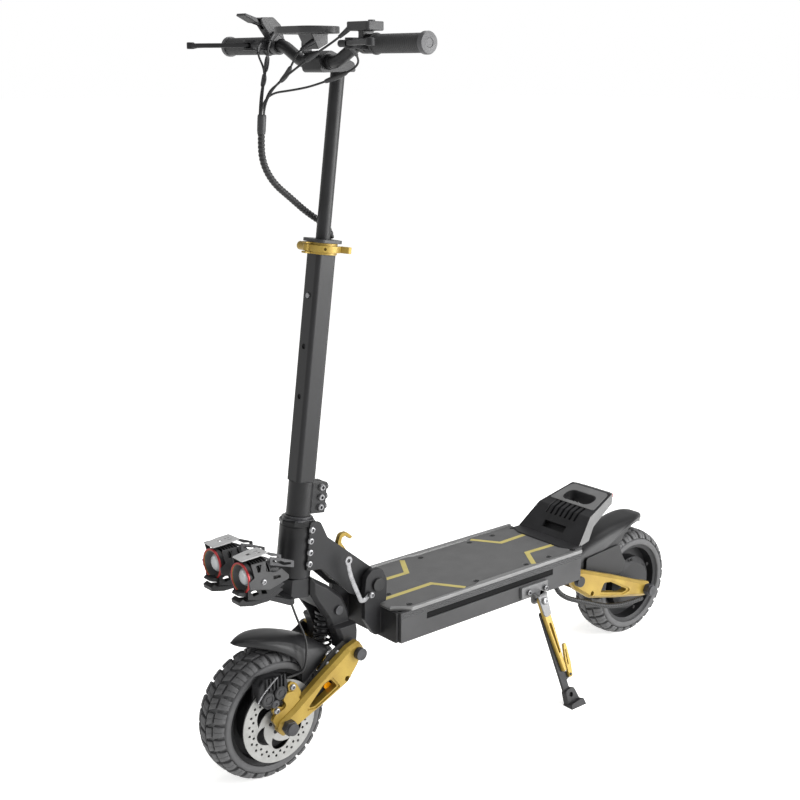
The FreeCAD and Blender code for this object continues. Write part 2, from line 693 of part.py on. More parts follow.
def battery_pack():
    """Battery in the tray."""
    gap = deck_wall + groove_depth + 3
    return box((deck_rear + 60, -deck_half_width + gap, deck_floor + deck_wall + 0.5),
               (deck_front - 110, deck_half_width - gap, deck_top - 5))


def deck_electronics():
    """Two motor controllers ahead of the battery, and the charging socket beside them."""
    low = deck_floor + deck_wall + 0.5
    front = deck_front - deck_wall - 12
    controllers = both_sides(box((front - 86, 6, low), (front, 84, low + 34)))
    socket = rod((deck_rear + 34, -deck_half_width + 30, deck_floor + 30),
                 (deck_rear + 34, -deck_half_width + deck_wall + groove_depth, deck_floor + 30), 8)
    return controllers + [socket]


# ---- kickstand ----
kick_face = deck_half_width + 6
kick_bolts = [(-80, deck_floor + 17), (-130, deck_floor + 15)]
kick_pivot = V(-106, kick_face + 11, 222)
kick_splay = 17.5           # degrees that the leg leans out
kick_trail = 8.0            # degrees that it leans back
kick_channel_length = 160.0
kick_leg_start = 24.0
kick_outer = 8.0            # thickness of the strut outside the leg
kick_tab_height = 62.0      # flip tab's pin above the ground, along the leg
kick_tab_x = -17.0


def kick_place():
    """Placement that turns an upright leg, drawn hanging down from its pivot, to its splayed position."""
    splay = FreeCAD.Rotation(V(1, 0, 0), kick_splay)
    trail = FreeCAD.Rotation(V(0, 1, 0), kick_trail)
    return FreeCAD.Placement(kick_pivot, splay.multiply(trail))


def placed(shape, place):
    """A copy of the shape moved by a placement."""
    copy = shape.copy()
    copy.Placement = place.multiply(copy.Placement)
    return copy


def kick_length():
    """Length of the leg from its pivot to the ground."""
    down = kick_place().Rotation.multVec(V(0, 0, -1))
    return kick_pivot.z / -down.z


def kickstand_bracket():
    """Plate on the deck's side with a lug and an outer cheek that hold the pivot bolt."""
    p = kick_pivot
    base = plate([(p.x - 32, deck_floor + 4, 3), (p.x + 44, deck_floor + 4, 3), (p.x + 46, deck_floor + 30, 3),
                  (p.x - 34, deck_floor + 30, 3)], deck_half_width, kick_face)
    lug = plate([(p.x - 14, deck_floor + 8, 0), (p.x + 14, deck_floor + 8, 0), (p.x + 13, p.z - 10, 10),
                 (p.x - 13, p.z - 10, 10)], deck_half_width + 0.5, deck_half_width + 5)
    outer = kick_outer + clear
    cheek = placed(plate([(-13, 16, 3), (13, 16, 3), (11, -34, 8), (-9, -34, 8)], outer, outer + 3), kick_place())
    roof = box((p.x - 11, deck_half_width + 1, p.z + 14.5), (p.x + 12, p.y + outer, p.z + 18.5))
    bolt = kick_place().Rotation.multVec(V(0, 1, 0))
    stud = rod(p - bolt * 13, p + bolt * (outer + 1), 5)
    head = rod(p + bolt * (outer + 2.5), p + bolt * (outer + 6), 7)
    return join([base, lug, stud, cheek, roof, head])


def kickstand_channel():
    """Tapered strut that hangs on the pivot bolt and runs down the outside of the leg."""
    outline = [(-11, 11, 10), (11, 11, 10), (10, -34, 12), (1, -kick_channel_length, 3),
               (-9, -kick_channel_length, 3), (-11, -60, 30)]
    bar = bevelled(plate(outline, 0, kick_outer), kick_outer, 2)
    bore = rod((0, -1, 0), (0, kick_outer + 1, 0), 5 + running_gap)
    window = plate([(-4, -50, 2), (3, -50, 2), (-1, -118, 2), (-5, -118, 2)], 3, kick_outer + 1)
    return placed(trim(bar, [bore, window]), kick_place())


def kickstand_leg():
    """Flat leg behind the strut, with a wide foot cut level with the ground."""
    length = kick_length()
    leg = plate([(-3, -kick_leg_start, 3), (12, -kick_leg_start, 5), (11, -length - 12), (-8, -length - 12)],
                -6, 0)
    block = plate([(-14, -length + 36, 7), (12, -length + 36, 7), (15, -length + 6), (-21, -length + 6)], -8, 6)
    eye = rod((-1, -9, -length + 23), (-1, 7, -length + 23), 5)
    sole = plate([(16, -length + 8, 4), (24, -length - 14, 0), (-26, -length - 14, 0), (-22, -length + 8, 6)],
                 -9, 17)
    z = kick_tab_height - length
    ear = plate([(-23, z - 6, 5), (-23, z + 6, 5), (-4, z + 10), (-4, z - 10)], -4.5, -1.2)
    pin = rod((kick_tab_x, -4.5, z), (kick_tab_x, 6.5, z), 3)
    whole = placed(join([leg, block.cut(eye), sole, ear, pin]), kick_place())
    foot_at = whole.BoundBox.Center
    ground = box((foot_at.x - 200, foot_at.y - 200, -100), (foot_at.x + 200, foot_at.y + 200, 0))
    return whole.cut(ground)


def kickstand_lever():
    """Flip tab on the rear edge of the leg, with a long slot."""
    x = kick_tab_x
    z = kick_tab_height - kick_length()
    tab = plate([(x - 5, z - 6, 4), (x + 5, z - 6, 4), (x + 3, z + 30, 4), (x - 5, z + 66, 3),
                 (x - 13, z + 66, 3),
                 (x - 11, z + 24, 4)], -0.9, 5)
    slot = plate([(x - 3, z + 22), (x, z + 22), (x - 5, z + 54), (x - 8, z + 54)], -3, 7)
    bore = rod((x, -3, z), (x, 7, z), 3 + running_gap)
    return placed(trim(tab, [slot, bore]), kick_place())


def latch_lever():
    """Bent safety lever on the left ear, with a pull ring."""
    h = fold_pin
    y = ear_outer + 1
    foot_at = V(latch_pin.x, y, latch_pin.z)
    blade = plate([(foot_at.x - 8, foot_at.z - 8, 5), (foot_at.x + 12, foot_at.z - 2, 5),
                   (foot_at.x + 24, foot_at.z + 24, 6),
                   (foot_at.x + 52, foot_at.z + 76, 6), (foot_at.x + 46, foot_at.z + 86,
                                                         6), (foot_at.x + 36, foot_at.z + 78, 4),
                   (foot_at.x + 12, foot_at.z + 30, 6)], y, y + 3)
    ring = pipe(V(foot_at.x + 47, y, foot_at.z + 81), V(foot_at.x + 47, y + 3, foot_at.z + 81), 9, 4)
    hole = V(foot_at.x + 47, y - 1, foot_at.z + 81)
    bore = rod(foot_at - V(0, 2, 0), foot_at + V(0, 6, 0), 3 + running_gap)
    return trim(join([blade, ring]), [rod(hole, hole + V(0, 6, 0), 4), bore])


# ---- neck ----
def neck_plates():
    """Two side plates round a spine, with the hinge barrel at their rear end."""
    h = fold_pin
    f = foot
    outline = [
        (f.x - 20, f.z + 148, 6), (f.x - 44, f.z + 144, 10), (f.x - 60, f.z + 110, 16), (f.x - 108,
                                                                                         f.z + 71, 30),
        (h.x - 2, h.z + 28, 24), (h.x - 24, h.z + 2, 18), (h.x - 4, h.z - 25, 18), (h.x + 26, h.z - 24, 16),
        (f.x - 114, f.z - 18, 8), (f.x - 44, f.z + 50, 14), (f.x - 10, f.z + 54, 4),
    ]
    sides = both_sides(plate(outline, neck_plate_inner, neck_outer))
    spine = plate([(f.x - 58, f.z + 92, 8), (f.x - 110, f.z + 56, 20), (h.x + 4, h.z + 14, 10),
                   (h.x + 6, h.z - 12, 10),
                   (f.x - 112, f.z - 6, 6), (f.x - 60, f.z + 50,
                                             8)], -neck_plate_inner - 1, neck_plate_inner + 1)
    side = V(0, ear_inner - clear, 0)
    barrel = rod(h - side, h + side, 21)
    bore = rod(h - side * 2, h + side * 2, fold_pin_radius + running_gap)
    slot = plate([(f.x - 90, f.z + 90), (f.x - 140, f.z + 90), (f.x - 136, f.z + 22),
                  (f.x - 108, f.z + 22)], -5.5, 5.5)
    pin = rod(hook_pin - V(0, 8, 0), hook_pin + V(0, 8, 0), 3)
    block = leaned([head_block()])[0]
    return join([trim(join(sides + [spine, barrel]), [bore, slot, block]), pin])


def head_block():
    """Upright outline of the head tube and the block behind it, uncut."""
    tube = rod((0, 0, head_low), (0, 0, head_high), head_radius)
    lug = box((-head_radius - 30, -neck_plate_inner, head_low + 18),
              (-head_radius + 9, neck_plate_inner, head_high - 2))
    return join([tube, lug])


def head_tube():
    """Tube for the steering bearings, with the block behind it that the neck plates are screwed to."""
    inner = rod((0, 0, head_low - 1), (0, 0, head_high + 1), steerer_radius + 10)
    return leaned([head_block().cut(inner)])


def neck_screws():
    """Four screws a side that fix the plates to the head tube block."""
    heads = []
    for i in range(4):
        at = column_point(-head_radius - 12, 0, head_low + 28 + 24 * i)
        heads += both_sides(screw((at.x, neck_outer, at.z), (0, 1, 0), 6.5, 4))
    return heads


def headset():
    """Upper and lower steering bearings and the stepped cap on the head tube."""
    outer = steerer_radius + 10
    inner = steerer_radius + running_gap
    lower = pipe((0, 0, head_low), (0, 0, head_low + bearing_width), outer, inner)
    upper = pipe((0, 0, head_high - bearing_width), (0, 0, head_high), outer, inner)
    cap = hexagon((0, 0, head_high), (0, 0, head_high + 4), head_radius + 1).common(
        rod((0, 0, head_high), (0, 0, head_high + 4), head_radius - 1))
    step = rod((0, 0, head_high + 4), (0, 0, column_low - clear), head_radius - 8)
    cover = join([cap, step]).cut(rod((0, 0, head_high - 1), (0, 0, column_low + 1), inner))
    return leaned([lower, upper, cover])


def release_hook():
    """Curved hook lever that swings on a pin in the neck's top slot."""
    p = hook_pin
    outline = [(p.x - 7, p.z - 7, 6), (p.x + 7, p.z - 7, 6), (p.x + 7, p.z + 24, 8),
               (p.x + 13, p.z + 40, 10), (p.x + 6, p.z + 58, 10),
               (p.x - 10, p.z + 58, 6), (p.x - 24, p.z + 46, 2), (p.x - 18, p.z + 42, 2), (p.x - 8,
                                                                                           p.z + 51, 5),
               (p.x + 2, p.z + 50, 5), (p.x + 4, p.z + 40, 6), (p.x - 7, p.z + 24, 6)]
    return plate(outline, -5, 5).cut(rod(p - V(0, 6, 0), p + V(0, 6, 0), 3 + running_gap))


# ---- fork ----
def crown_block():
    """Upright block of the crown, its corners cut off."""
    w = crown_half_width
    outline = [(-w, 20), (-20, w), (20, w), (w + 4, 16), (w + 4, -16), (20, -w), (-20, -w), (-w, -20)]
    return plate(outline, 0, crown_height, "z")


def fork_crown():
    """Crown block with the steerer that runs up through the head tube into the column."""
    block = crown_block()
    seat = rod((0, 0, crown_height), (0, 0, head_low - bearing_gap), steerer_radius + 4)
    steerer = rod((0, 0, 0), (0, 0, column_clamp_high - 4), steerer_radius)
    bore = rod((0, 0, -1), (0, 0, column_clamp_high), steerer_radius - 4)
    return leaned([join([block, seat, steerer]).cut(bore)])


def c_arm():
    """Curved arm from the crown back and down to the swing arm pivot, open inside for the shock."""
    f = foot
    p = front_pivot
    upper = [(f.x - 22, f.z + 40, 0), (f.x - 36, f.z + 29, 16), (f.x - 62, f.z + 12, 20),
             (f.x - 96, f.z - 18, 22),
             (f.x - 112, f.z - 52, 20), (p.x - 22, p.z + 30, 10), (p.x - 20, p.z - 6, 10), (p.x - 4,
                                                                                            p.z - 20, 10),
             (p.x + 18, p.z - 10, 10), (p.x + 24, p.z + 28, 16), (f.x - 58, f.z - 56, 16), (f.x - 34,
                                                                                            f.z - 20, 16),
                                                                                            (f.x - 22,
                                                                                             f.z + 2, 0)]
    slim = plate(upper, -carm_half_width, carm_half_width)
    slim = bevelled(bevelled(slim, carm_half_width, carm_bevel), -carm_half_width, carm_bevel)
    broad = plate(upper, -carm_low_half_width, carm_low_half_width)
    broad = bevelled(bevelled(broad, carm_low_half_width, carm_bevel), -carm_low_half_width, carm_bevel)
    foot_zone = box((p.x - 60, -tyre_radius, p.z - 60), (p.x + 60, tyre_radius, p.z + carm_step))
    shape = slim.fuse(broad.common(foot_zone))
    well = box((f.x - 108, -25, p.z - 30), (f.x - 20, 25, f.z - 30))
    low_well = box((p.x - 30, -34, p.z - 30), (p.x + 40, 34, p.z + 2))
    head_room = leaned([rod((0, 0, head_low - 2), (0, 0, head_high), head_radius + 4)])
    tube_gap = V(0, carm_low_half_width, 0)
    bosses = both_sides(rod(p + V(0, 34, 0), p + V(0, arm_inner - clear, 0), 17))
    reach = V(0, arm_inner, 0)
    pin = rod(p - reach, p + reach, pivot_radius)
    bolt = rod(front_shock_top - tube_gap, front_shock_top + tube_gap, shock_bolt_radius)
    return trim(join([trim(shape, [well, low_well])] + bosses),
                [pin, bolt] + head_room + leaned([crown_block()]))


def fork_bolts():
    """Front arm pivot, shock bolt with its domed heads, and the column clamp screws."""
    p = front_pivot
    end = arm_outer + 0.6
    stub = join([rod(p + V(0, 36, 0), p + V(0, end + 1, 0), pivot_radius),
                 rod(p + V(0, end, 0), p + V(0, end + 11, 0), 12)])
    t = front_shock_top
    out = carm_half_width
    bolt = join([rod(t - V(0, out, 0), t + V(0, out, 0), shock_bolt_radius),
                 rod(t + V(0, out, 0), t + V(0, out + 4, 0), 9), rod(t - V(0, out + 4, 0), t - V(0, out, 0),
                                                                     9)])
    side_screws = []
    for i in range(3):
        z = column_low + 14 + 19 * i
        side_screws.append(screw((-38, 15, z), (0, 1, 0), 6, 4.5))
        side_screws.append(screw((-51, 8, z), (-1, 0, 0), 6, 5))
    return both_sides(stub) + [bolt] + leaned(side_screws)


def lower_column():
    """Outer column tube with flat sides; its foot is a split clamp round the steerer."""
    d = column_half_depth
    w = column_half_width
    r = column_corner
    tube = plate([(-d, -w, r), (d, -w, r), (d, w, r), (-d, w, r)], column_clamp_high, column_high, "z")
    clamp = rod((0, 0, column_low), (0, 0, column_clamp_high), d + 1.5)
    flange = box((-51, -15, column_low + 2), (-18, 15, column_clamp_high - 4))
    split = box((-52, -1.5, column_low - 1), (-steerer_radius + 2, 1.5, column_clamp_high - 3))
    bore = rod((0, 0, column_clamp_high), (0, 0, column_high + 1), upper_radius + running_gap)
    grip = rod((0, 0, column_low - 1), (0, 0, column_clamp_high + 1), steerer_radius)
    button = rod((d - 12, 0, button_height), (d + 1, 0, button_height), 5.2)
    holes = [rod((d - 3, 0, button_height - 93 * i), (d + 1, 0, button_height - 93 * i), 5) for i in (1, 2)]
    return leaned([trim(join([tube, clamp, flange]), [split, bore, grip, button] + holes)])


def column_collar():
    """Flanged collar on the column's top and the clamp band round it, with lugs for its lever."""
    low = column_high - collar_overlap
    d = column_half_depth + clear
    w = column_half_width + clear
    r = column_corner
    band = pipe((0, 0, low), (0, 0, low + 21), collar_radius, upper_radius + clear)
    skirt = plate([(-d, -w, r), (d, -w, r), (d, w, r), (-d, w, r)], low - 1, column_high, "z")
    f = collar_radius + 1
    flange = plate([(-f, -f, 14), (f, -f, 14), (f, f, 14), (-f, f, 14)], low + 21, low + 27, "z").cut(
        rod((0, 0, low), (0, 0, low + 40), upper_radius + clear))
    nub = rod((21, -14, low + 11), (21, -38, low + 11), 8)
    x = collar_pin_x
    lugs = [box((x - 11, -6, low), (x + 6, 6, low + 3.5)), box((x - 11, -6, low + 17.5), (x + 6, 6, low + 21))]
    pocket = rod((x, 0, low + 3.5), (x, 0, low + 17.5), 7)
    split = box((15, -9.5, low - 1), (40, -7.5, low + 20))
    pin = rod((x, 0, low), (x, 0, low + 21), 2.5)
    return leaned([join([trim(join([band, flange, nub] + lugs), [skirt, split, pocket]), pin])])


def collar_lever():
    """Quick-release lever that wraps round the left of the collar."""
    low = column_high + 0.5
    high = column_high + 12.5
    x = collar_pin_x
    inner = collar_radius + 1
    ring = pipe((0, 0, low), (0, 0, high), inner + 5, inner)
    wrap = ring.common(plate([(x - 10, 2), (60, 2), (60, 60), (-60, 60), (-60, 14), (0, 14)], low, high, "z"))
    eye = rod((x, 0, low), (x, 0, high), 6)
    tail = plate([(-26, 14), (-32, 13), (-45, 22, 3), (-45, 31, 3), (-37, 32, 3), (-27, 20)], low, high, "z")
    slot = rod((10, 18, low + 6), (22, 44, low + 6), 2.5)
    bore = rod((x, 0, low - 1), (x, 0, high + 1), 2.5 + running_gap)
    return leaned([trim(join([wrap, eye, tail]), [slot, bore])])


def snap_button():
    """Locking button in the column's upper hole."""
    d = column_half_depth
    head = rod((d - 3.4, 0, button_height), (d + 2.6, 0, button_height), 4.8)
    return leaned([head])


def headlights():
    """Two finned lamp bodies with their brackets and lower arms."""
    pieces = []
    x = foot.x + lamp_ahead
    y = lamp_spread
    z = foot.z + lamp_lift
    front = x + 48
    body = rod(V(x - 4, y, z), V(front - lens_depth, y, z), 27)
    bell = pipe(V(front - lens_depth, y, z), V(front, y, z), lamp_radius, lamp_radius - 7)
    fins = [rod(V(x + 2 + 7 * i, y, z), V(x + 5 + 7 * i, y, z), lamp_radius - 1) for i in range(4)]
    tail = rod(V(x - 26, y, z), V(x - 2, y, z), 18)
    lamp = join([body, bell, tail] + fins)
    cage = plate([(x - 30, z + 34, 2), (x + 46, z + 34, 2), (x + 46, z + 30, 2), (x + 34, z + 18, 4),
                  (x + 34, z - 22, 4),
                  (x + 44, z - 36, 2), (x + 10, z - 40, 4), (x - 18, z - 24, 6), (x - 30, z - 6,
                                                                                  4)], y + 31, y + 34)
    cage_far = cage.copy()
    cage_far.translate(V(0, -65, 0))
    top = box((x - 30, y - 34, z + 34), (x + 46, y + 34, z + 37))
    tray = box((x - 10, y - 20, z - 33), (x + 40, y + 34, z - 30))
    posts = [rod(V(x + 14, y + s * 26, z), V(x + 14, y + s * 34, z), 6) for s in (-1, 1)]
    bridge = box((x - 20, y - 34, z + 20), (x - 8, y + 34, z + 37))
    left = join([lamp, cage, cage_far, top, bridge] + posts)
    stem = rod(V(x + 14, y, z - 26), V(x + 14, y, z - 34), 8)
    return both_sides(join([left, tray, stem])) + lamp_arms(x, y, z)


def lamp_arms(x, y, z):
    """Carrier from the crown's front out to both lamps."""
    low = foot.z + 4
    bar = box((foot.x + 27, -y - 8, low), (foot.x + 41, y + 8, low + 12))
    arms = both_sides(plate([(foot.x + 40, low), (foot.x + 40, low + 12), (x + 6, z - 33.2),
                             (x + 24, z - 33.2), (x + 24, z - 38), (x + 4, z - 42)],
                            y - 8, y + 8))
    return [trim(join([bar] + arms), leaned([crown_block()]))]


def headlight_lenses():
    """Domed projector lens in each lamp."""
    x = foot.x + lamp_ahead + 48
    seat = x - lens_depth
    z = foot.z + lamp_lift
    ball = Part.makeSphere(26, V(x - 32, lamp_spread, z)).common(rod(V(seat, lamp_spread, z),
                                                                     V(x, lamp_spread, z), lamp_radius - 7.5))
    disc = rod(V(seat, lamp_spread, z), V(seat + 2.5, lamp_spread, z), lamp_radius - 7.5)
    return both_sides(join([ball, disc]))


# ---- bars ----
def upper_column():
    """Sliding tube and the stem head that clamps the bar."""
    tube = pipe((0, 0, upper_low), (0, 0, upper_high), upper_radius, upper_radius - upper_wall)
    tube = leaned([tube])[0]
    c = bar_centre
    top = column_point(0, 0, upper_high)
    mid = c.z - bar_dip
    head = plate([(top.x - 19, top.z - 4, 4), (top.x + 17, top.z - 4, 6), (c.x + 18, mid - 18, 8),
                  (c.x + 23, mid + 8, 10), (c.x - 4, mid + 20, 8), (top.x - 17, top.z + 12, 8)],
                 -stem_half_width, stem_half_width)
    centre = V(c.x, 0, c.z - bar_dip)
    bore = rod(centre - V(0, 40, 0), centre + V(0, 40, 0), bar_middle_radius)
    socket = leaned([rod((0, 0, upper_low), (0, 0, upper_high - 2), upper_radius - upper_wall)])[0]
    return join([tube, head]).cut(bore).cut(socket)


def bar_points():
    """Centre line of the handlebar: a shallow V."""
    c = bar_centre
    low = c.z - bar_dip
    half = [(c.x, bar_middle_half + 14, low), (c.x, bar_bend_y, c.z), (c.x, bar_half_length, c.z)]
    return [(x, -y, z) for x, y, z in reversed(half)] + half


def handlebar():
    """Bar with a thick middle and straight ends."""
    tube = cable(bar_points(), bar_radius, "handlebar", bar_bend)
    c = bar_centre
    middle = rod(V(c.x, -bar_middle_half, c.z - bar_dip), V(c.x, bar_middle_half, c.z - bar_dip),
                 bar_middle_radius)
    return join([tube, middle])


def grips():
    """Rubber grips with a flange and an end cap."""
    c = bar_centre
    sleeve = rod(V(c.x, grip_inner, c.z), V(c.x, grip_outer, c.z), grip_radius)
    flange = rod(V(c.x, grip_inner, c.z), V(c.x, grip_inner + 4, c.z), grip_radius + 2)
    cap = rod(V(c.x, grip_outer, c.z), V(c.x, grip_outer + plug_thickness, c.z), plug_radius)
    bore = rod(V(c.x, grip_inner - 1, c.z), V(c.x, bar_half_length, c.z), bar_radius)
    return both_sides(join([sleeve, flange, cap]).cut(bore))


def brake_housings():
    """Clamp and lever housing on each side, with a slot for the blade."""
    c = bar_centre
    y = lever_pivot_y
    clamp = pipe(V(c.x, y - 13, c.z), V(c.x, y, c.z), bar_radius + 5, bar_radius)
    arm = plate([(c.x + 10, y - 14, 4), (c.x + 44, y - 16, 6), (c.x + 58, y - 8, 7), (c.x + 56, y + 8, 7),
                 (c.x + 40, y + 8, 4), (c.x + 32, y - 2, 4),
                 (c.x + 10, y, 4)], c.z - 9, c.z + 9, "z")
    barrel = rod(V(c.x + 46, y - 34, c.z), V(c.x + 46, y - 14, c.z), 6)
    slot = box((c.x + 34, y - 12, c.z - 4.5), (c.x + 70, y + 20, c.z + 4.5))
    pin = V(c.x + lever_pivot_ahead, y, c.z)
    hole = rod(pin - V(0, 0, 12), pin + V(0, 0, 12), 3)
    tube = rod(V(c.x, y - 20, c.z), V(c.x, y + 6, c.z), bar_radius)
    return both_sides(join([trim(join([clamp, arm, barrel]), [slot, hole, tube]),
                            rod(pin - V(0, 0, 9), pin + V(0, 0, 9), 3)]))


def brake_blade():
    """Left brake blade: a flat lever that widens at its end."""
    c = bar_centre
    y = lever_pivot_y
    outline = [(c.x + 41, y - 7, 4), (c.x + 55, y - 7, 5), (c.x + 66, y + 12, 10), (c.x + 86, y + 56, 30),
               (c.x + 106, y + 108, 5),
               (c.x + 96, y + 116, 5), (c.x + 84, y + 92, 12), (c.x + 72, y + 50, 30), (c.x + 50, y + 14,
                                                                                        10), (c.x + 41,
                                                                                              y + 6, 4)]
    blade = plate(outline, c.z - 4, c.z + 4, "z")
    knob = rod(V(c.x + 100, y + 111, c.z - 6), V(c.x + 100, y + 111, c.z + 6), 7)
    pin = V(c.x + lever_pivot_ahead, y, c.z)
    return join([blade, knob]).cut(rod(pin - V(0, 0, 12), pin + V(0, 0, 12), 3 + running_gap))


def control_pods():
    """Throttle pod on the right, switch pod on the left, each on its own ring."""
    c = bar_centre
    t = throttle_pin
    ring = pipe(V(c.x, t.y - 7, c.z), V(c.x, t.y + 7, c.z), bar_radius + 5, bar_radius)
    pod = plate([(c.x - 8, c.z + 9, 3), (c.x + 16, c.z + 6, 3), (c.x + 40, c.z + 36, 6),
                 (c.x + 46, c.z + 48, 4), (c.x + 16, c.z + 49, 6), (c.x, c.z + 36, 8)],
                t.y - 11, t.y + 11)
    pod = trim(pod, [rod(t - V(0, 30, 0), t + V(0, 30, 0), 3),
                     box((c.x + 27, t.y - 5, c.z + 28), (c.x + 60, t.y + 5, c.z + 60))])
    pin = rod(t - V(0, 11, 0), t + V(0, 11, 0), 3)
    throttle = join([ring, pod, pin]).cut(rod(V(c.x, t.y - 20, c.z), V(c.x, t.y + 20, c.z), bar_radius))
    ring_left = pipe(V(c.x, 121, c.z), V(c.x, 134, c.z), bar_radius + 5, bar_radius)
    stalk = box((c.x - 12, 121, c.z + 10), (c.x + 12, 134, c.z + 22))
    case = plate([(c.x - 16, 100, 6), (c.x + 22, 100, 6), (c.x + 22, 158, 6), (c.x - 16, 158, 6)], c.z + 21,
                 c.z + 36, "z")
    pocket = rod(V(c.x + 3, 146, c.z + 30), V(c.x + 3, 146, c.z + 40), 6.5)
    switch = join([ring_left, stalk, case]).cut(rod(V(c.x, 110, c.z), V(c.x, 150, c.z),
                                                    bar_radius)).cut(pocket)
    return [throttle, switch]


def throttle_paddle():
    """Thumb paddle that pivots in the throttle pod."""
    p = throttle_pin
    outline = [(p.x - 5, p.z - 5, 2), (p.x + 5, p.z - 5, 2), (p.x + 22, p.z - 1, 6), (p.x + 46, p.z + 10, 1),
               (p.x + 44, p.z + 14, 1), (p.x + 20, p.z + 7, 6), (p.x - 4, p.z + 5, 2)]
    paddle = plate(outline, p.y - 4, p.y + 4)
    pad = plate([(p.x + 15, p.z - 2), (p.x + 22, p.z - 1, 4), (p.x + 46, p.z + 10, 1),
                 (p.x + 44, p.z + 14, 1),
                 (p.x + 20, p.z + 7, 4)], p.y - 16, p.y + 12)
    return join([paddle, pad]).cut(rod(p - V(0, 20, 0), p + V(0, 20, 0), 3 + running_gap))


def horn_button():
    """Round button in the switch pod."""
    c = bar_centre
    return rod(V(c.x + 3, 146, c.z + 32.5), V(c.x + 3, 146, c.z + 38.5), 6)


def display():
    """Flat oval display on a bracket in front of the stem head."""
    c = bar_centre
    top = plate([(c.x - 10, -66, 34), (c.x + 68, -66, 38), (c.x + 68, 66, 38), (c.x - 10, 66, 34)],
                c.z + 18, c.z + 30, "z")
    post = plate([(c.x - 3, c.z + 19, 0), (c.x - 3, c.z + 2, 0), (c.x + 18, c.z - 8, 0),
                  (c.x + 34, c.z + 19, 0)], -20, 20)
    band = pipe(V(c.x, -33.5, c.z - bar_dip), V(c.x, -27.5, c.z - bar_dip), bar_middle_radius + 4,
                bar_middle_radius)
    riser = box((c.x - 4, -33.5, c.z - bar_dip + bar_middle_radius + 1), (c.x + 16, -27.5, c.z + 6))
    shelf = box((c.x - 4, -33.5, c.z - 6), (c.x + 16, -19, c.z + 6))
    return join([top, post, riser, shelf, band])


# ---- cables ----
def bar_cables():
    """Loom from the bars round to the collar, with the five leads that join it."""
    c = bar_centre
    meet = V(c.x + 104, -30, c.z - 118)
    end = column_point(-upper_radius - loom_radius - 1.5, -4, column_high + 25.7)
    run = end - meet
    shape = [(0, -30, 0), (-0.03, -30, 0.2), (0, -31, 0.38), (0.18, -32, 0.54), (0.46, -33, 0.66),
             (0.73, -32, 0.785), (0.945, -28, 0.866), (1.025, -10, 0.94), (1, -4, 1)]
    loom = cable([(meet.x + run.x * a, y, meet.z + run.z * b) for a, y, b in shape], loom_radius, "loom")
    leads = []
    starts = [
        (V(c.x + 46, lever_pivot_y - 34.2, c.z), V(c.x + 49, 88, c.z - 2), V(c.x + 90, 30, c.z - 46)),
        (V(c.x + 10, 99, c.z + 28), V(c.x + 13, 81, c.z + 14), V(c.x + 64, 32, c.z - 32)),
        (V(c.x + 23.8, -12, c.z + 1), V(c.x + 52, -14, c.z - 18), V(c.x + 84, -22, c.z - 60)),
        (V(c.x + 14, -113, c.z + 20), V(c.x + 18, -92, c.z + 15), V(c.x + 60, -54, c.z - 30)),
        (V(c.x + 46, 34.2 - lever_pivot_y, c.z), V(c.x + 47, -90, c.z - 2), V(c.x + 70, -62, c.z - 38)),
    ]
    for i, (a, b, d) in enumerate(starts):
        turn = math.radians(36 + 72 * i)
        end = meet + V(lead_ring * math.cos(turn), lead_ring * math.sin(turn), 0.6)
        leads.append(cable([tuple(a), tuple(b), tuple(d), tuple(end + V(-2, 0, 34)), tuple(end)],
                           lead_radius, f"lead {i + 1}"))
    return [loom] + leads


def front_brake_hose():
    """Hose from the crown down to the front caliper."""
    f = foot
    a = front_axle
    return cable([(f.x + 18, 22, f.z + 1.3), (f.x + 14, 36, f.z - 34), (f.x + 2, 50, f.z - 72),
                  (a.x - 60, 62, a.z + 116), (a.x - 52, 66, a.z + 92),
                  (a.x - 38, 62, a.z + 85), (a.x - 16.4, 59, a.z + 84)], 2.4, "front hose")


def rear_motor_cable():
    """Cable from the deck floor to the rear axle, outside the left arm."""
    p = rear_pivot
    a = rear_axle
    y = arm_outer + 7
    return cable([(deck_rear + 40, 70, deck_floor - 0.5), (deck_rear + 38, 72, deck_floor - 26),
                  (deck_rear + 12, 82, deck_floor - 50), (p.x - 16, y - 2, p.z - 52), (p.x - 58, y, p.z - 70),
                  (p.x - 108, y, p.z - 88), (a.x + 72, y, a.z - 14), (a.x + 30, y + 2,
                                                                      a.z - 12)], 4.5, "rear motor cable")


# ---- places that several pieces share ----
front_shock_top = foot + V(-83.6, 0, -43.0)
front_shock_bottom = front_pivot + V(29.0, 0, -29.0)
rear_shock_top = rear_pivot + V(-26.0, 0, 61.0)
rear_shock_bottom = rear_pivot + V(-74.0, 0, -25.0)
latch_pin = fold_pin + V(22, 0, -14)
hook_pin = foot + V(-122, 0, 36)
collar_pin_x = 35.0
collar_radius = 28.0
collar_overlap = 4.0        # of the collar's skirt over the column's top
button_height = 566.0
lamp_spread = 46.0
lamp_lift = 80.0
lamp_radius = 30.0
lamp_ahead = 96.0
lens_depth = 14.0
throttle_pin = V(bar_centre.x + 33, -125, bar_centre.z + 40)


def bridge_outline(pivot, shock_eye, toward):
    """Side view of the bridge between the arm plates, with a lug under the shock's lower eye."""
    e = shock_eye
    return [(e.x - 10 * toward, e.z - 14, 4), (e.x + 6 * toward, e.z - 18, 4),
            (e.x + 8 * toward, e.z - 30, 4), (e.x - 24 * toward, e.z - 26, 4), (e.x - 26 * toward, e.z - 12,
                                                                                4)]


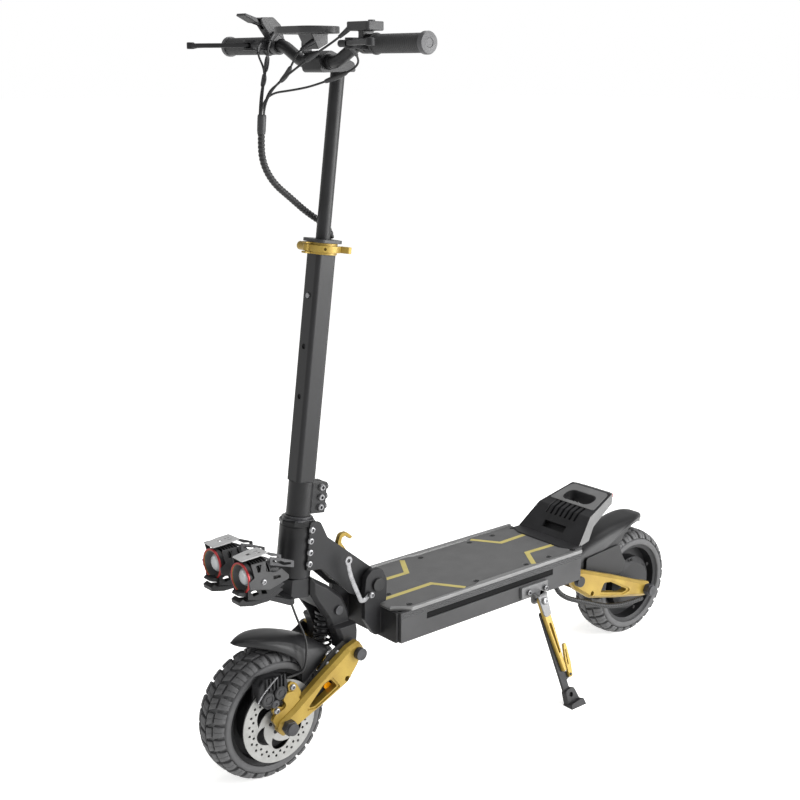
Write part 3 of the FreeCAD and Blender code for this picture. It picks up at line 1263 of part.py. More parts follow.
def bridge_with_lugs(eye, toward):
    """Two lugs and a pin through the shock's lower eye."""
    lug = both_sides(plate([(eye.x - 12 * toward, eye.z - 22, 0), (eye.x + 8 * toward, eye.z - 24, 0),
                            (eye.x + 9 * toward, eye.z + 4, 6), (eye.x, eye.z + 9, 6), (eye.x - 10 * toward,
                                                                                        eye.z + 4, 6)],
                           shock_eye_half_width + 1, shock_eye_half_width + 9))
    pin = rod(eye - V(0, shock_eye_half_width + 5, 0), eye + V(0, shock_eye_half_width + 5, 0),
              shock_bolt_radius)
    return lug + [pin]


def arm_with_lugs(pivot, axle, tab_side, eye, toward):
    """Swing arm complete with the shock's lower mount."""
    arm = swing_arm(pivot, axle, tab_side, bridge_outline(pivot, eye, toward))
    return join([arm] + bridge_with_lugs(eye, toward))


# ---- build every node ----
save("front_tyre", [tyre(front_axle)])
save("rear_tyre", [tyre(rear_axle)])
save("front_hub_motor", [hub_motor(front_axle, 1)])
save("rear_hub_motor", [hub_motor(rear_axle, -1)])
save("front_brake_disc", [brake_disc(front_axle, 1)])
save("rear_brake_disc", [brake_disc(rear_axle, -1)])
save("front_axle", [axle_and_stator(front_axle)])
save("rear_axle", [axle_and_stator(rear_axle)])
save("front_caliper", [caliper(front_axle, 1, 22, 68)])
save("rear_caliper", [caliper(rear_axle, -1, 12, 80)])
save("front_swing_arm", [arm_with_lugs(front_pivot, front_axle, 1, front_shock_bottom, 1)])
save("rear_swing_arm", [arm_with_lugs(rear_pivot, rear_axle, -1, rear_shock_bottom, -1)])
save("front_shock_body", [shock_body(front_shock_top, front_shock_bottom)])
save("front_shock_rod", [shock_rod(front_shock_top, front_shock_bottom, 8)])
save("front_spring", [coil_spring(front_shock_top, front_shock_bottom)])
save("rear_shock_body", [shock_body(rear_shock_top, rear_shock_bottom)])
save("rear_shock_rod", [shock_rod(rear_shock_top, rear_shock_bottom, 12)])
save("front_fender", [front_fender()])
save("rear_fender", [rear_fender()])
save("deck_box", [deck_box()])
save("deck_cover", [deck_cover()])
save("deck_lights", deck_lights())
save("front_bracket", [front_bracket()])
save("deck_fasteners", deck_fasteners())
save("rear_bracket", [rear_bracket()])
save("footrest", [footrest()])
save("battery_pack", [battery_pack()])
save("deck_electronics", deck_electronics())
save("kickstand_bracket", [kickstand_bracket()])
save("kickstand_channel", [kickstand_channel()])
save("kickstand_leg", [kickstand_leg()])
save("kickstand_lever", [kickstand_lever()])
save("latch_lever", [latch_lever()])
save("neck_plates", [neck_plates()])
save("head_tube", head_tube())
save("neck_screws", neck_screws())
save("headset", headset())
save("release_hook", [release_hook()])
save("fork_crown", fork_crown())
save("c_arm", [c_arm()])
save("fork_bolts", fork_bolts())
save("lower_column", lower_column())
save("column_collar", column_collar())
save("collar_lever", collar_lever())
save("snap_button", snap_button())
save("headlights", headlights())
save("headlight_lenses", headlight_lenses())
save("upper_column", [upper_column()])
save("handlebar", [handlebar()])
save("grips", grips())
save("brake_housings", brake_housings())
save("brake_lever_left", [brake_blade()])
save("brake_lever_right", [brake_blade().mirror(V(0, 0, 0), V(0, 1, 0))])
save("control_pods", control_pods())
save("throttle_paddle", [throttle_paddle()])
save("horn_button", [horn_button()])
save("display", [display()])
save("bar_cables", bar_cables())
save("front_brake_hose", [front_brake_hose()])
save("rear_motor_cable", [rear_motor_cable()])
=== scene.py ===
import math

import bmesh
import bpy
import numpy as np
from mathutils import Matrix, Vector


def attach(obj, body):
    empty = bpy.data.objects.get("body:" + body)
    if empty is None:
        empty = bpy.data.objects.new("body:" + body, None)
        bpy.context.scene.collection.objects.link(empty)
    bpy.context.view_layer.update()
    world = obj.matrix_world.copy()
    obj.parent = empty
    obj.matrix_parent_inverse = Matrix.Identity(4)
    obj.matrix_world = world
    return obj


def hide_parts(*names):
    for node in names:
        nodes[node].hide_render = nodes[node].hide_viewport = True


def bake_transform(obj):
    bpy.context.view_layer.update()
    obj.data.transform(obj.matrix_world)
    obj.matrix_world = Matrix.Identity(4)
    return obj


# Dual-motor kick scooter. Metres, +X forward, +Y to the rider's left, +Z up.
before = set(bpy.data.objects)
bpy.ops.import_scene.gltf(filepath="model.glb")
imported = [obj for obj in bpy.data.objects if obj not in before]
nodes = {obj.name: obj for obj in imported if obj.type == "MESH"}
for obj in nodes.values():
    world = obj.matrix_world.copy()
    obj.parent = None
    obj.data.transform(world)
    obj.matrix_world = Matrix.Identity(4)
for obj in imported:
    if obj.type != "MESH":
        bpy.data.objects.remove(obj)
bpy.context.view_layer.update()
mm = 0.001
scene = bpy.context.scene
rake = math.radians(7.19)  # the steering axis leans back by this
columnFoot = (447.6, 345.0)  # x, z of the axis at the crown's underside, mm
barMiddle = (366.2, 1347.0)  # x, z of the handlebar's straight ends, mm


# camera, light and floor
shot = {"place": (1.7969, 1.8841, 1.2997), "azimuth": 49.2, "elevation": 14.0, "roll": 0.3,
        "focalPixels": 1308.3, "frameWidth": 800.0, "centreX": 402.9, "centreY": 399.5, "sensor": 36.0}


def aimCamera():
    azimuth, elevation, roll = (math.radians(shot[key]) for key in ("azimuth", "elevation", "roll"))
    ahead = Vector((-math.cos(elevation) * math.cos(azimuth), -math.cos(elevation) * math.sin(azimuth),
                    -math.sin(elevation)))
    level = ahead.cross(Vector((0, 0, 1))).normalized()
    upright = level.cross(ahead)
    right = level * math.cos(roll) + upright * math.sin(roll)
    up = upright * math.cos(roll) - level * math.sin(roll)
    data = bpy.data.cameras.new("photoCamera")
    data.sensor_width = shot["sensor"]
    data.lens = shot["focalPixels"] / shot["frameWidth"] * shot["sensor"]
    data.shift_x = 0.5 - shot["centreX"] / shot["frameWidth"]
    data.shift_y = shot["centreY"] / shot["frameWidth"] - 0.5
    camera = bpy.data.objects.new("photoCamera", data)
    turn = Matrix((right, up, -ahead)).transposed()
    camera.matrix_world = Matrix.Translation(shot["place"]) @ turn.to_4x4()
    scene.collection.objects.link(camera)
    scene.camera = camera


aimCamera()
print("stage: camera")

studio = {"sky": "#ffffff", "skyLow": 1.0, "skyHigh": 0.3, "lowAngle": 5.0, "highAngle": 45.0,
          "floor": "#f6f6f5", "floorGlow": 0.68, "floorHalf": 60.0,
          "lamps": [  # name, place, aim, size, watts
              ("overheadSoftbox", (-0.6, 0.2, 3.0), (0.0, 0.0, 0.3), 1.8, 48),
              ("leftSoftbox", (-1.0, 2.9, 1.7), (0.0, 0.0, 0.5), 1.8, 70),
              ("rearLeftPanel", (-2.3, 2.4, 0.8), (0.0, 0.0, 0.45), 1.6, 75)]}


def linear(code):
    # an sRGB hex colour as linear red, green, blue and alpha
    channels = [int(code[i:i + 2], 16) / 255 for i in (1, 3, 5)]
    return [c / 12.92 if c <= 0.04045 else ((c + 0.055) / 1.055) ** 2.4 for c in channels] + [1.0]


def addNode(tree, kind, links=None, values=None, **settings):
    # one shader node: its settings, the values of its sockets and the links into them
    node = tree.nodes.new(kind)
    for key, value in settings.items():
        setattr(node, key, value)
    for key, value in (values or {}).items():
        node.inputs[key].default_value = value
    for key, source in (links or {}).items():
        tree.links.new(source, node.inputs[key])
    return node


def blankMaterial(name):
    material = bpy.data.materials.new(name)
    material.use_nodes = True
    material.node_tree.nodes.clear()
    return material, material.node_tree


def lightStage():
    # the air is white round the horizon and dims overhead, so dark parts keep their contrast
    world = bpy.data.worlds.new("studioAir")
    world.use_nodes = True
    tree = world.node_tree
    tree.nodes.clear()
    way = addNode(tree, "ShaderNodeTexCoord").outputs["Generated"]
    height = addNode(tree, "ShaderNodeSeparateXYZ", {"Vector": way}).outputs["Z"]
    dim = addNode(tree, "ShaderNodeMapRange", {"Value": height},
                  {"From Min": math.sin(math.radians(studio["lowAngle"])),
                   "From Max": math.sin(math.radians(studio["highAngle"])),
                   "To Min": studio["skyLow"], "To Max": studio["skyHigh"]})
    back = addNode(tree, "ShaderNodeBackground", {"Strength": dim.outputs["Result"]},
                   {"Color": linear(studio["sky"])})
    addNode(tree, "ShaderNodeOutputWorld", {"Surface": back.outputs["Background"]})
    scene.world = world
    for name, place, aim, size, watts in studio["lamps"]:
        data = bpy.data.lights.new(name, "AREA")
        data.size = size
        data.energy = watts
        lamp = bpy.data.objects.new(name, data)
        lamp.location = place
        lamp.rotation_mode = "QUATERNION"
        lamp.rotation_quaternion = (Vector(aim) - Vector(place)).to_track_quat("-Z", "Y")
        scene.collection.objects.link(lamp)
    mesh = bpy.data.meshes.new("studioFloor")
    half = studio["floorHalf"]
    corners = [(-half, -half, 0), (half, -half, 0), (half, half, 0), (-half, half, 0)]
    mesh.from_pydata(corners, [], [(0, 1, 2, 3)])
    floor = bpy.data.objects.new("studioFloor", mesh)
    scene.collection.objects.link(floor)
    material, tree = blankMaterial("matteStudioPaint")
    shader = addNode(tree, "ShaderNodeBsdfPrincipled",
                     values={"Base Color": linear(studio["floor"]), "Roughness": 0.9,
                             "Emission Color": linear(studio["floor"]),
                             "Emission Strength": studio["floorGlow"]})
    addNode(tree, "ShaderNodeOutputMaterial", {"Surface": shader.outputs["BSDF"]})
    mesh.materials.append(material)


lightStage()
scene.view_settings.view_transform = "Standard"
print("stage: light and floor")


# materials
def skin(tree, place, look):
    # colour and roughness drift with slow noise; flecks are a fine noise that darkens small spots
    drift = addNode(tree, "ShaderNodeTexNoise", {"Vector": place},
                    {"Scale": 1 / (look["driftMm"] * mm), "Detail": 3.0})
    ramp = addNode(tree, "ShaderNodeValToRGB", {"Fac": drift.outputs["Fac"]})
    for stop, position, key in zip(ramp.color_ramp.elements, (0.3, 0.7), ("dark", "light")):
        stop.position = position
        stop.color = linear(look[key])
    colour = ramp.outputs["Color"]
    if "fleck" in look:
        spots = addNode(tree, "ShaderNodeTexNoise", {"Vector": place},
                        {"Scale": 1 / (look["fleckMm"] * mm), "Detail": 1.0})
        few = addNode(tree, "ShaderNodeMapRange", {"Value": spots.outputs["Fac"]},
                      {"From Min": 0.60, "From Max": 0.70, "To Max": look["fleckShare"]})
        mixed = addNode(tree, "ShaderNodeMix", {"Factor": few.outputs["Result"], 6: colour},
                        {7: linear(look["fleck"])}, data_type="RGBA")  # 6 and 7 are its colour sockets
        colour = mixed.outputs[2]
    low, high = look["roughness"]
    rough = addNode(tree, "ShaderNodeMapRange", {"Value": drift.outputs["Fac"]},
                    {"From Min": 0.3, "From Max": 0.7, "To Min": low, "To Max": high})
    return colour, rough.outputs["Result"]


def finish(name, look, second=None, where=None):
    # one skin, or two parted by a mask from where(); a fine noise of grainMm gives the bump
    material, tree = blankMaterial(name)
    coords = addNode(tree, "ShaderNodeTexCoord")
    place = coords.outputs["Object"]
    colour, rough = skin(tree, place, look)
    grain = addNode(tree, "ShaderNodeTexNoise", {"Vector": place},
                    {"Scale": 1 / (look["grainMm"] * mm), "Detail": 2.0})
    bump = addNode(tree, "ShaderNodeBump", {"Height": grain.outputs["Fac"]},
                   {"Strength": look["bump"], "Distance": look["grainMm"] * mm * 0.3})
    links, values = {"Normal": bump.outputs["Normal"]}, {"Specular IOR Level": look.get("sheen", 0.5)}
    if second:
        mask = where(tree, coords)
        colourB, roughB = skin(tree, place, second)
        both = addNode(tree, "ShaderNodeMix", {"Factor": mask, 6: colour, 7: colourB}, data_type="RGBA")
        gloss = addNode(tree, "ShaderNodeMix", {"Factor": mask, "A": rough, "B": roughB})
        colour, rough = both.outputs[2], gloss.outputs["Result"]
        if look["metal"] != second["metal"]:
            span = {"To Min": look["metal"], "To Max": second["metal"]}
            links["Metallic"] = addNode(tree, "ShaderNodeMapRange", {"Value": mask}, span).outputs["Result"]
    if "Metallic" not in links:
        values["Metallic"] = look["metal"]
    links.update({"Base Color": colour, "Roughness": rough})
    shader = addNode(tree, "ShaderNodeBsdfPrincipled", links, values)
    addNode(tree, "ShaderNodeOutputMaterial", {"Surface": shader.outputs["BSDF"]})
    return material


maskEdges = {"rimHeight": 0.29425, "rimSide": 0.1104, "wallTurn": 0.9, "wallBlur": 0.02, "wallSide": 0.045,
             "flange": 0.6628}  # metres, apart from the turn; the flange is measured up the steering axis


def above(tree, value, edge, blur=0.0002):
    # 0 below edge, 1 above it
    return addNode(tree, "ShaderNodeMapRange", {"Value": value},
                   {"From Min": edge - blur, "From Max": edge + blur}).outputs["Result"]


def joined(tree, kind, first, second):
    # the greater of two masks, or their product
    return addNode(tree, "ShaderNodeMath", {0: first, 1: second}, operation=kind).outputs["Value"]


def axes(tree, socket):
    return addNode(tree, "ShaderNodeSeparateXYZ", {"Vector": socket}).outputs


def onTrim(tree, coords):
    # the raised rim and the outer edge of the deck cover
    spot = axes(tree, coords.outputs["Object"])
    side = addNode(tree, "ShaderNodeMath", {0: spot["Y"]}, operation="ABSOLUTE").outputs["Value"]
    return joined(tree, "MAXIMUM", above(tree, spot["Z"], maskEdges["rimHeight"]),
                  above(tree, side, maskEdges["rimSide"]))


def onPaintedHighlightWalls(tree, coords):
    # painted highlight: the outer side walls of the footrest, faces turned to either side, take the lighter
    # grey; not the walls of its hand slot
    spot, facing = axes(tree, coords.outputs["Object"]), axes(tree, coords.outputs["Normal"])
    side = addNode(tree, "ShaderNodeMath", {0: spot["Y"]}, operation="ABSOLUTE").outputs["Value"]
    turned = addNode(tree, "ShaderNodeMath", {0: facing["Y"]}, operation="ABSOLUTE").outputs["Value"]
    return joined(tree, "MULTIPLY", above(tree, turned, maskEdges["wallTurn"], maskEdges["wallBlur"]),
                  above(tree, side, maskEdges["wallSide"]))


def onFlange(tree, coords):
    # height along the steering axis, from the crown's underside, past the collar's gold band
    axis = (-math.sin(rake), 0.0, math.cos(rake))
    dot = addNode(tree, "ShaderNodeVectorMath", {0: coords.outputs["Object"]}, {1: axis},
                  operation="DOT_PRODUCT")
    start = (columnFoot[0] * axis[0] + columnFoot[1] * axis[2]) * mm
    return above(tree, dot.outputs["Value"], start + maskEdges["flange"])


goldLook = {"dark": "#8c722c", "light": "#a1883b", "driftMm": 45, "roughness": (0.36, 0.48), "metal": 0.4,
            "grainMm": 1.0, "bump": 0.3, "fleck": "#6d5820", "fleckMm": 1.6, "fleckShare": 0.5}
blackLook = {"dark": "#161617", "light": "#1e1e20", "driftMm": 60, "roughness": (0.36, 0.46), "metal": 0.0,
             "sheen": 0.3, "grainMm": 1.2, "bump": 0.12}
coatLook = {"dark": "#1a1a1b", "light": "#222224", "driftMm": 40, "roughness": (0.42, 0.55), "metal": 0.0,
            "sheen": 0.28, "grainMm": 1.6, "bump": 0.22}
# painted highlight: the lighter grey that stands in for light on the kick plate's top and side walls
padLook = {"dark": "#5c5c5c", "light": "#696969", "driftMm": 40, "roughness": (0.45, 0.55), "metal": 0.0,
           "grainMm": 1.0, "bump": 0.4}
zincLook = {"dark": "#7f7f81", "light": "#9a9a9c", "driftMm": 9, "roughness": (0.26, 0.38), "metal": 0.7,
            "grainMm": 0.8, "bump": 0.1}
trimLook = {"dark": "#6a6a6a", "light": "#7a7a7a", "driftMm": 50, "roughness": (0.35, 0.45), "metal": 0.3,
            "grainMm": 1.0, "bump": 0.15}
# gold anodised forging, bead blasted: a dyed oxide layer over aluminium, satin with fine dark specks
goldAnodised = finish("goldAnodisedAluminium", goldLook)
# black anodised tube: dark grey satin, a little lighter where light rakes it
blackAnodised = finish("blackAnodisedAluminium", blackLook)
# the collar: gold band under a black flange
collarAnodised = finish("goldAndBlackAnodisedCollar", goldLook, blackLook, onFlange)
# mill-grey anodised deck extrusion, lighter than the tubes
extrusionGrey = finish("greyAnodisedExtrusion",
                       {"dark": "#313132", "light": "#3b3b3c", "driftMm": 70, "roughness": (0.36, 0.46),
                        "metal": 0.1, "sheen": 0.35, "grainMm": 1.2, "bump": 0.1})
# cast parts under black powder coat: a fine orange peel
powderCoat = finish("blackPowderCoat", coatLook)
# the kick plate: black coat with a lighter grey painted highlight on its top and side walls
padCoat = finish("blackCoatWithPaintedHighlight", coatLook, padLook, onPaintedHighlightWalls)
# deck skin: grey grip powder coat with a sandy texture, and a bare satin rim
deckGrip = finish("greyGripPowderCoat",
                  {"dark": "#4d4d4d", "light": "#585858", "driftMm": 25, "roughness": (0.6, 0.75),
                   "metal": 0.0, "grainMm": 1.1, "bump": 0.6, "fleck": "#3a3a3a", "fleckMm": 1.5,
                   "fleckShare": 0.4},
                  trimLook, onTrim)
# pale gold stripe paint on the deck, printed over the grit
stripePaint = finish("paleGoldDeckPaint",
                     {"dark": "#a89b58", "light": "#b5a863", "driftMm": 20, "roughness": (0.5, 0.65),
                      "metal": 0.0, "grainMm": 1.1, "bump": 0.5})
# injection moulded ABS, spark eroded grain
mouldedPlastic = finish("mouldedAbs",
                        {"dark": "#1f1f20", "light": "#28282a", "driftMm": 35, "roughness": (0.38, 0.48),
                         "metal": 0.0, "sheen": 0.45, "grainMm": 0.8, "bump": 0.2})
# grey ABS of the switch pod and the grips' end plugs: even, satin
greyPlastic = finish("greyMouldedAbs",
                     {"dark": "#38383a", "light": "#444446", "driftMm": 30, "roughness": (0.4, 0.5),
                      "metal": 0.0, "grainMm": 0.8, "bump": 0.2})
# dark grey moulded guards, a smoother satin than the pods
guardPlastic = finish("mouldedPolypropylene",
                      {"dark": "#1c1c1d", "light": "#242425", "driftMm": 60, "roughness": (0.38, 0.48),
                       "metal": 0.0, "sheen": 0.3, "grainMm": 1.2, "bump": 0.15})
# tyre rubber: matt grey black with a faint bloom
tyreRubber = finish("vulcanisedTyreRubber",
                    {"dark": "#474748", "light": "#545455", "driftMm": 14, "roughness": (0.6, 0.8),
                     "metal": 0.0, "grainMm": 1.5, "bump": 0.3})
# grip rubber, moulded with soft ribs: matt, near black
gripRubber = finish("mouldedGripRubber",
                    {"dark": "#232324", "light": "#2d2d2e", "driftMm": 15, "roughness": (0.55, 0.7),
                     "metal": 0.0, "grainMm": 1.0, "bump": 0.3})
# zinc plated screws: bright, slightly blue grey
zincSteel = finish("zincPlatedSteel", zincLook)
# black oxide on turned steel: a dark satin that still shows its roundness
darkSteel = finish("blackOxideSteel",
                   {"dark": "#29292b", "light": "#39393c", "driftMm": 9, "roughness": (0.32, 0.46),
                    "metal": 0.2, "grainMm": 0.8, "bump": 0.1})
# the deck's socket screws, near black so their counterbores read dark: painted shade, darker than the deck
# round them
paintedShadeScrews = finish("screwSteelWithPaintedShade",
                     {"dark": "#111112", "light": "#1a1a1b", "driftMm": 9, "roughness": (0.4, 0.5),
                      "metal": 0.0, "sheen": 0.4, "grainMm": 0.8, "bump": 0.1})
# ground stainless disc: pale satin
groundSteel = finish("groundStainlessDisc",
                     {"dark": "#8f8f8d", "light": "#9e9e9c", "driftMm": 14, "roughness": (0.32, 0.44),
                      "metal": 0.45, "grainMm": 0.7, "bump": 0.1})
# extruded PVC over the leads and the wrap: soft black with a low gloss
cableJacket = finish("pvcCableJacket",
                     {"dark": "#141415", "light": "#1e1e1f", "driftMm": 10, "roughness": (0.38, 0.5),
                      "metal": 0.0, "sheen": 0.4, "grainMm": 0.8, "bump": 0.15})
# smoked polycarbonate light strip, unlit: almost black
smokedStrip = finish("smokedPolycarbonate",
                     {"dark": "#070708", "light": "#0c0c0d", "driftMm": 30, "roughness": (0.5, 0.6),
                      "metal": 0.0, "sheen": 0.08, "grainMm": 1.5, "bump": 0.03})
# PVC shrink film round the cells: glossy blue, hidden in the deck
shrinkFilm = finish("blueShrinkFilm",
                    {"dark": "#17356b", "light": "#204584", "driftMm": 20, "roughness": (0.25, 0.35),
                     "metal": 0.0, "grainMm": 2.0, "bump": 0.1})
# dyed red ring round each lamp
redAnodised = finish("redAnodisedAluminium",
                     {"dark": "#8e171d", "light": "#a41f25", "driftMm": 10, "roughness": (0.3, 0.4),
                      "metal": 0.3, "grainMm": 0.8, "bump": 0.05})
# passivated brass seat inside each red ring
yellowBrass = finish("yellowPassivatedBrass",
                     {"dark": "#7c6322", "light": "#94782c", "driftMm": 10, "roughness": (0.3, 0.4),
                      "metal": 0.5, "grainMm": 0.8, "bump": 0.05})
# sheet steel lamp plates, light grey powder coat
plateGrey = finish("greyCoatedSheetSteel",
                   {"dark": "#9f9f9f", "light": "#b2b2b2", "driftMm": 25, "roughness": (0.34, 0.46),
                    "metal": 0.1, "grainMm": 1.0, "bump": 0.1})
# the same sheet steel under a darker coat, for the lamp cages
midGrey = finish("midGreyCoatedSheetSteel",
                 {"dark": "#2f2f30", "light": "#3a3a3b", "driftMm": 25, "roughness": (0.36, 0.48),
                  "metal": 0.1, "grainMm": 1.0, "bump": 0.1})
# plate of the kickstand's bracket: pale grey anodising
bracketGrey = finish("greyAnodisedPlate",
                     {"dark": "#5f5f60", "light": "#6b6b6c", "driftMm": 20, "roughness": (0.36, 0.46),
                      "metal": 0.2, "grainMm": 1.0, "bump": 0.1})
# painted highlight: a lighter grey sheet on the kick plate's sloping top
padGrey = finish("greyPaintedHighlight", padLook)
# satin nickel plating on the dish behind each lens: bright, soft reflections
reflector = finish("satinPlatedReflector",
                   {"dark": "#8f9092", "light": "#a2a3a5", "driftMm": 8, "roughness": (0.25, 0.35),
                    "metal": 0.4, "grainMm": 2.0, "bump": 0.02})
# pressed acrylic side reflector: clear amber over foil
amberLens = finish("amberAcrylic",
                   {"dark": "#e08a00", "light": "#f7a80c", "driftMm": 12, "roughness": (0.15, 0.25),
                    "metal": 0.0, "grainMm": 2.0, "bump": 0.02})
# pressed acrylic tail lamp: deep red, unlit
tailLens = finish("redAcrylic",
                  {"dark": "#8e0f12", "light": "#b4181b", "driftMm": 12, "roughness": (0.15, 0.25),
                   "metal": 0.0, "grainMm": 2.0, "bump": 0.02})


def clearLens():
    # pressed borosilicate: colourless, smooth, refracts the bowl behind it
    material, tree = blankMaterial("pressedBorosilicate")
    shader = addNode(tree, "ShaderNodeBsdfPrincipled",
                     values={"Base Color": linear("#dfe2e4"), "Roughness": 0.12, "IOR": 1.47,
                             "Transmission Weight": 0.6})
    addNode(tree, "ShaderNodeOutputMaterial", {"Surface": shader.outputs["BSDF"]})
    return material


lensGlass = clearLens()

cadFinish = {
    "deck_box": extrusionGrey, "deck_cover": deckGrip, "deck_lights": smokedStrip,
    # the deck's screws take the near black of painted shade for their counterbores
    "front_bracket": powderCoat, "deck_fasteners": paintedShadeScrews, "rear_bracket": powderCoat,
    # the footrest's coat carries painted highlight on its side walls
    "footrest": padCoat, "battery_pack": shrinkFilm,
    "deck_electronics": mouldedPlastic, "kickstand_bracket": bracketGrey, "kickstand_channel": goldAnodised,
    "kickstand_leg": powderCoat, "kickstand_lever": goldAnodised, "latch_lever": zincSteel,
    "neck_plates": powderCoat, "head_tube": blackAnodised, "neck_screws": zincSteel, "headset": darkSteel,
    "release_hook": goldAnodised, "fork_crown": powderCoat, "c_arm": powderCoat, "fork_bolts": darkSteel,
    "lower_column": blackAnodised, "column_collar": collarAnodised, "collar_lever": goldAnodised,
    "snap_button": zincSteel, "upper_column": blackAnodised, "handlebar": blackAnodised,
    "brake_housings": powderCoat, "control_pods": mouldedPlastic, "display": mouldedPlastic,
    "brake_lever_left": powderCoat, "brake_lever_right": powderCoat, "throttle_paddle": mouldedPlastic,
    "horn_button": greyPlastic, "front_swing_arm": goldAnodised, "front_caliper": powderCoat,
    "front_axle": darkSteel, "front_hub_motor": powderCoat, "front_shock_body": darkSteel,
    "front_shock_rod": zincSteel, "rear_swing_arm": goldAnodised, "rear_caliper": powderCoat,
    "rear_axle": darkSteel, "rear_hub_motor": powderCoat, "rear_shock_body": darkSteel,
    "rear_shock_rod": zincSteel,
}
edgeWidths = {"footrest": 1.0, "c_arm": 1.2, "neck_plates": 0.9, "front_bracket": 1.0, "deck_cover": 1.0,
              "deck_box": 0.8, "brake_lever_left": 1.6, "brake_lever_right": 1.6, "display": 1.6,
              "control_pods": 1.6, "throttle_paddle": 1.2, "front_caliper": 1.6, "rear_caliper": 1.6}
usualEdge = 0.6
# parts whose bevels meet recesses keep their own faces, and their edge radii stop where they would cross
narrowFaces = ("front_swing_arm", "rear_swing_arm", "footrest")


def softenEdges(part, width):
    # loose triangles welded, flat faces joined, sharp edges rounded to width mm, normals weighted by area
    weld = part.modifiers.new("weld", "WELD")
    weld.merge_threshold = 0.01 * mm
    narrow = part.name in narrowFaces
    if not narrow:
        flat = part.modifiers.new("flatFaces", "DECIMATE")
        flat.decimate_type = "DISSOLVE"
        flat.angle_limit = math.radians(1.0)
    edge = part.modifiers.new("edgeRadius", "BEVEL")
    edge.width = width * mm
    edge.segments = 2
    edge.limit_method = "ANGLE"
    edge.angle_limit = math.radians(32)
    edge.use_clamp_overlap = narrow
    edge.harden_normals = True
    normals = part.modifiers.new("areaNormals", "WEIGHTED_NORMAL")
    normals.keep_sharp = False


for nodeName, material in cadFinish.items():
    mesh = nodes[nodeName].data
    mesh.materials.clear()
    mesh.materials.append(material)
    softenEdges(nodes[nodeName], edgeWidths.get(nodeName, usualEdge))
print("stage: materials on the packed nodes")


# surface helpers
def meshPiece(name, points, faces, material, sharpAngle=35, closed=True):
    # a mesh from an array of points and a list of faces; sharpAngle parts flat from round shading
    mesh = bpy.data.meshes.new(name)
    mesh.from_pydata(np.asarray(points).reshape(-1, 3).tolist(), [], faces)
    if closed:
        shell = bmesh.new()
        shell.from_mesh(mesh)
        bmesh.ops.recalc_face_normals(shell, faces=shell.faces)
        shell.to_mesh(mesh)
        shell.free()
    mesh.shade_smooth()
    mesh.set_sharp_from_angle(angle=math.radians(sharpAngle))
    mesh.materials.append(material)
    piece = bpy.data.objects.new(name, mesh)
    scene.collection.objects.link(piece)
    return piece


def gridFaces(rows, columns, wrapRows=False, wrapColumns=False, caps=False):
    # quads between neighbours of a rows x columns grid; wrapped ways join last to first, caps close the ends
    index = np.arange(rows * columns).reshape(rows, columns)
    if wrapColumns:
        index = np.hstack([index, index[:, :1]])
    if wrapRows:
        index = np.vstack([index, index[:1]])
    quads = np.stack([index[:-1, :-1], index[:-1, 1:], index[1:, 1:], index[1:, :-1]], -1).reshape(-1, 4)
    faces = quads.tolist()
    if caps:
        first = np.arange(columns)
        faces += [first[::-1].tolist(), (first + (rows - 1) * columns).tolist()]
    return faces


def copies(points, faces, places):
    # one template repeated: points times each 4 x 4 place, and the faces shifted by the points of one copy
    full = np.c_[points, np.ones(len(points))]
    moved = np.einsum("pij,nj->pni", np.asarray(places), full)[..., :3].reshape(-1, 3)
    shifts = np.arange(len(places)) * len(points)
    return moved, [[corner + shift for corner in face] for shift in shifts.tolist() for face in faces]


def frameAt(origin, along, about=(0.0, 0.0, 1.0)):
    # 4 x 4 place whose third axis is along and whose first is square to it and to about
    third = np.array(along, float) / np.linalg.norm(along)
    first = np.cross(about, third)
    if np.linalg.norm(first) < 1e-6:
        first = np.cross((0.0, 1.0, 0.0), third)
    first = first / np.linalg.norm(first)
    place = np.eye(4)
    place[:3, 0], place[:3, 1], place[:3, 2], place[:3, 3] = first, np.cross(third, first), third, origin
    return place


def spun(name, profile, origin, along, material, steps=64, sharpAngle=35, wrap=False):
    # each (radius, height) mm of the profile turned about the line from origin along the given way
    radius, height = np.array(profile, float).T * mm
    angle = np.linspace(0, 2 * np.pi, steps, endpoint=False)
    points = np.stack([np.outer(radius, np.cos(angle)), np.outer(radius, np.sin(angle)),
                       np.repeat(height[:, None], steps, 1)], -1).reshape(-1, 3)
    place = frameAt(origin, along)
    points = points @ place[:3, :3].T + place[:3, 3]
    faces = gridFaces(len(profile), steps, wrapRows=wrap, wrapColumns=True, caps=not wrap)
    return meshPiece(name, points, faces, material, sharpAngle)


def routeLine(points, spread=8):
    # points read along an order 3 NURBS through the ends of a route given in mm
    data = bpy.data.curves.new("route", "CURVE")
    data.dimensions = "3D"
    spline = data.splines.new("NURBS")
    spline.points.add(len(points) - 1)
    spline.points.foreach_set("co", np.c_[np.array(points) * mm, np.ones(len(points))].ravel())
    spline.order_u = 3
    spline.use_endpoint_u = True
    spline.resolution_u = spread
    holder = bpy.data.objects.new("route", data)
    line = bpy.data.meshes.new_from_object(holder)
    places = np.empty(len(line.vertices) * 3)
    line.vertices.foreach_get("co", places)
    bpy.data.objects.remove(holder)
    bpy.data.curves.remove(data)
    bpy.data.meshes.remove(line)
    return places.reshape(-1, 3)


def evenly(path, step):
    # the same line with a point every step mm
    run = np.r_[0, np.cumsum(np.linalg.norm(np.diff(path, axis=0), axis=1))]
    marks = np.linspace(0, run[-1], max(3, int(run[-1] / (step * mm)) + 1))
    return np.stack([np.interp(marks, run, path[:, k]) for k in range(3)], -1), marks


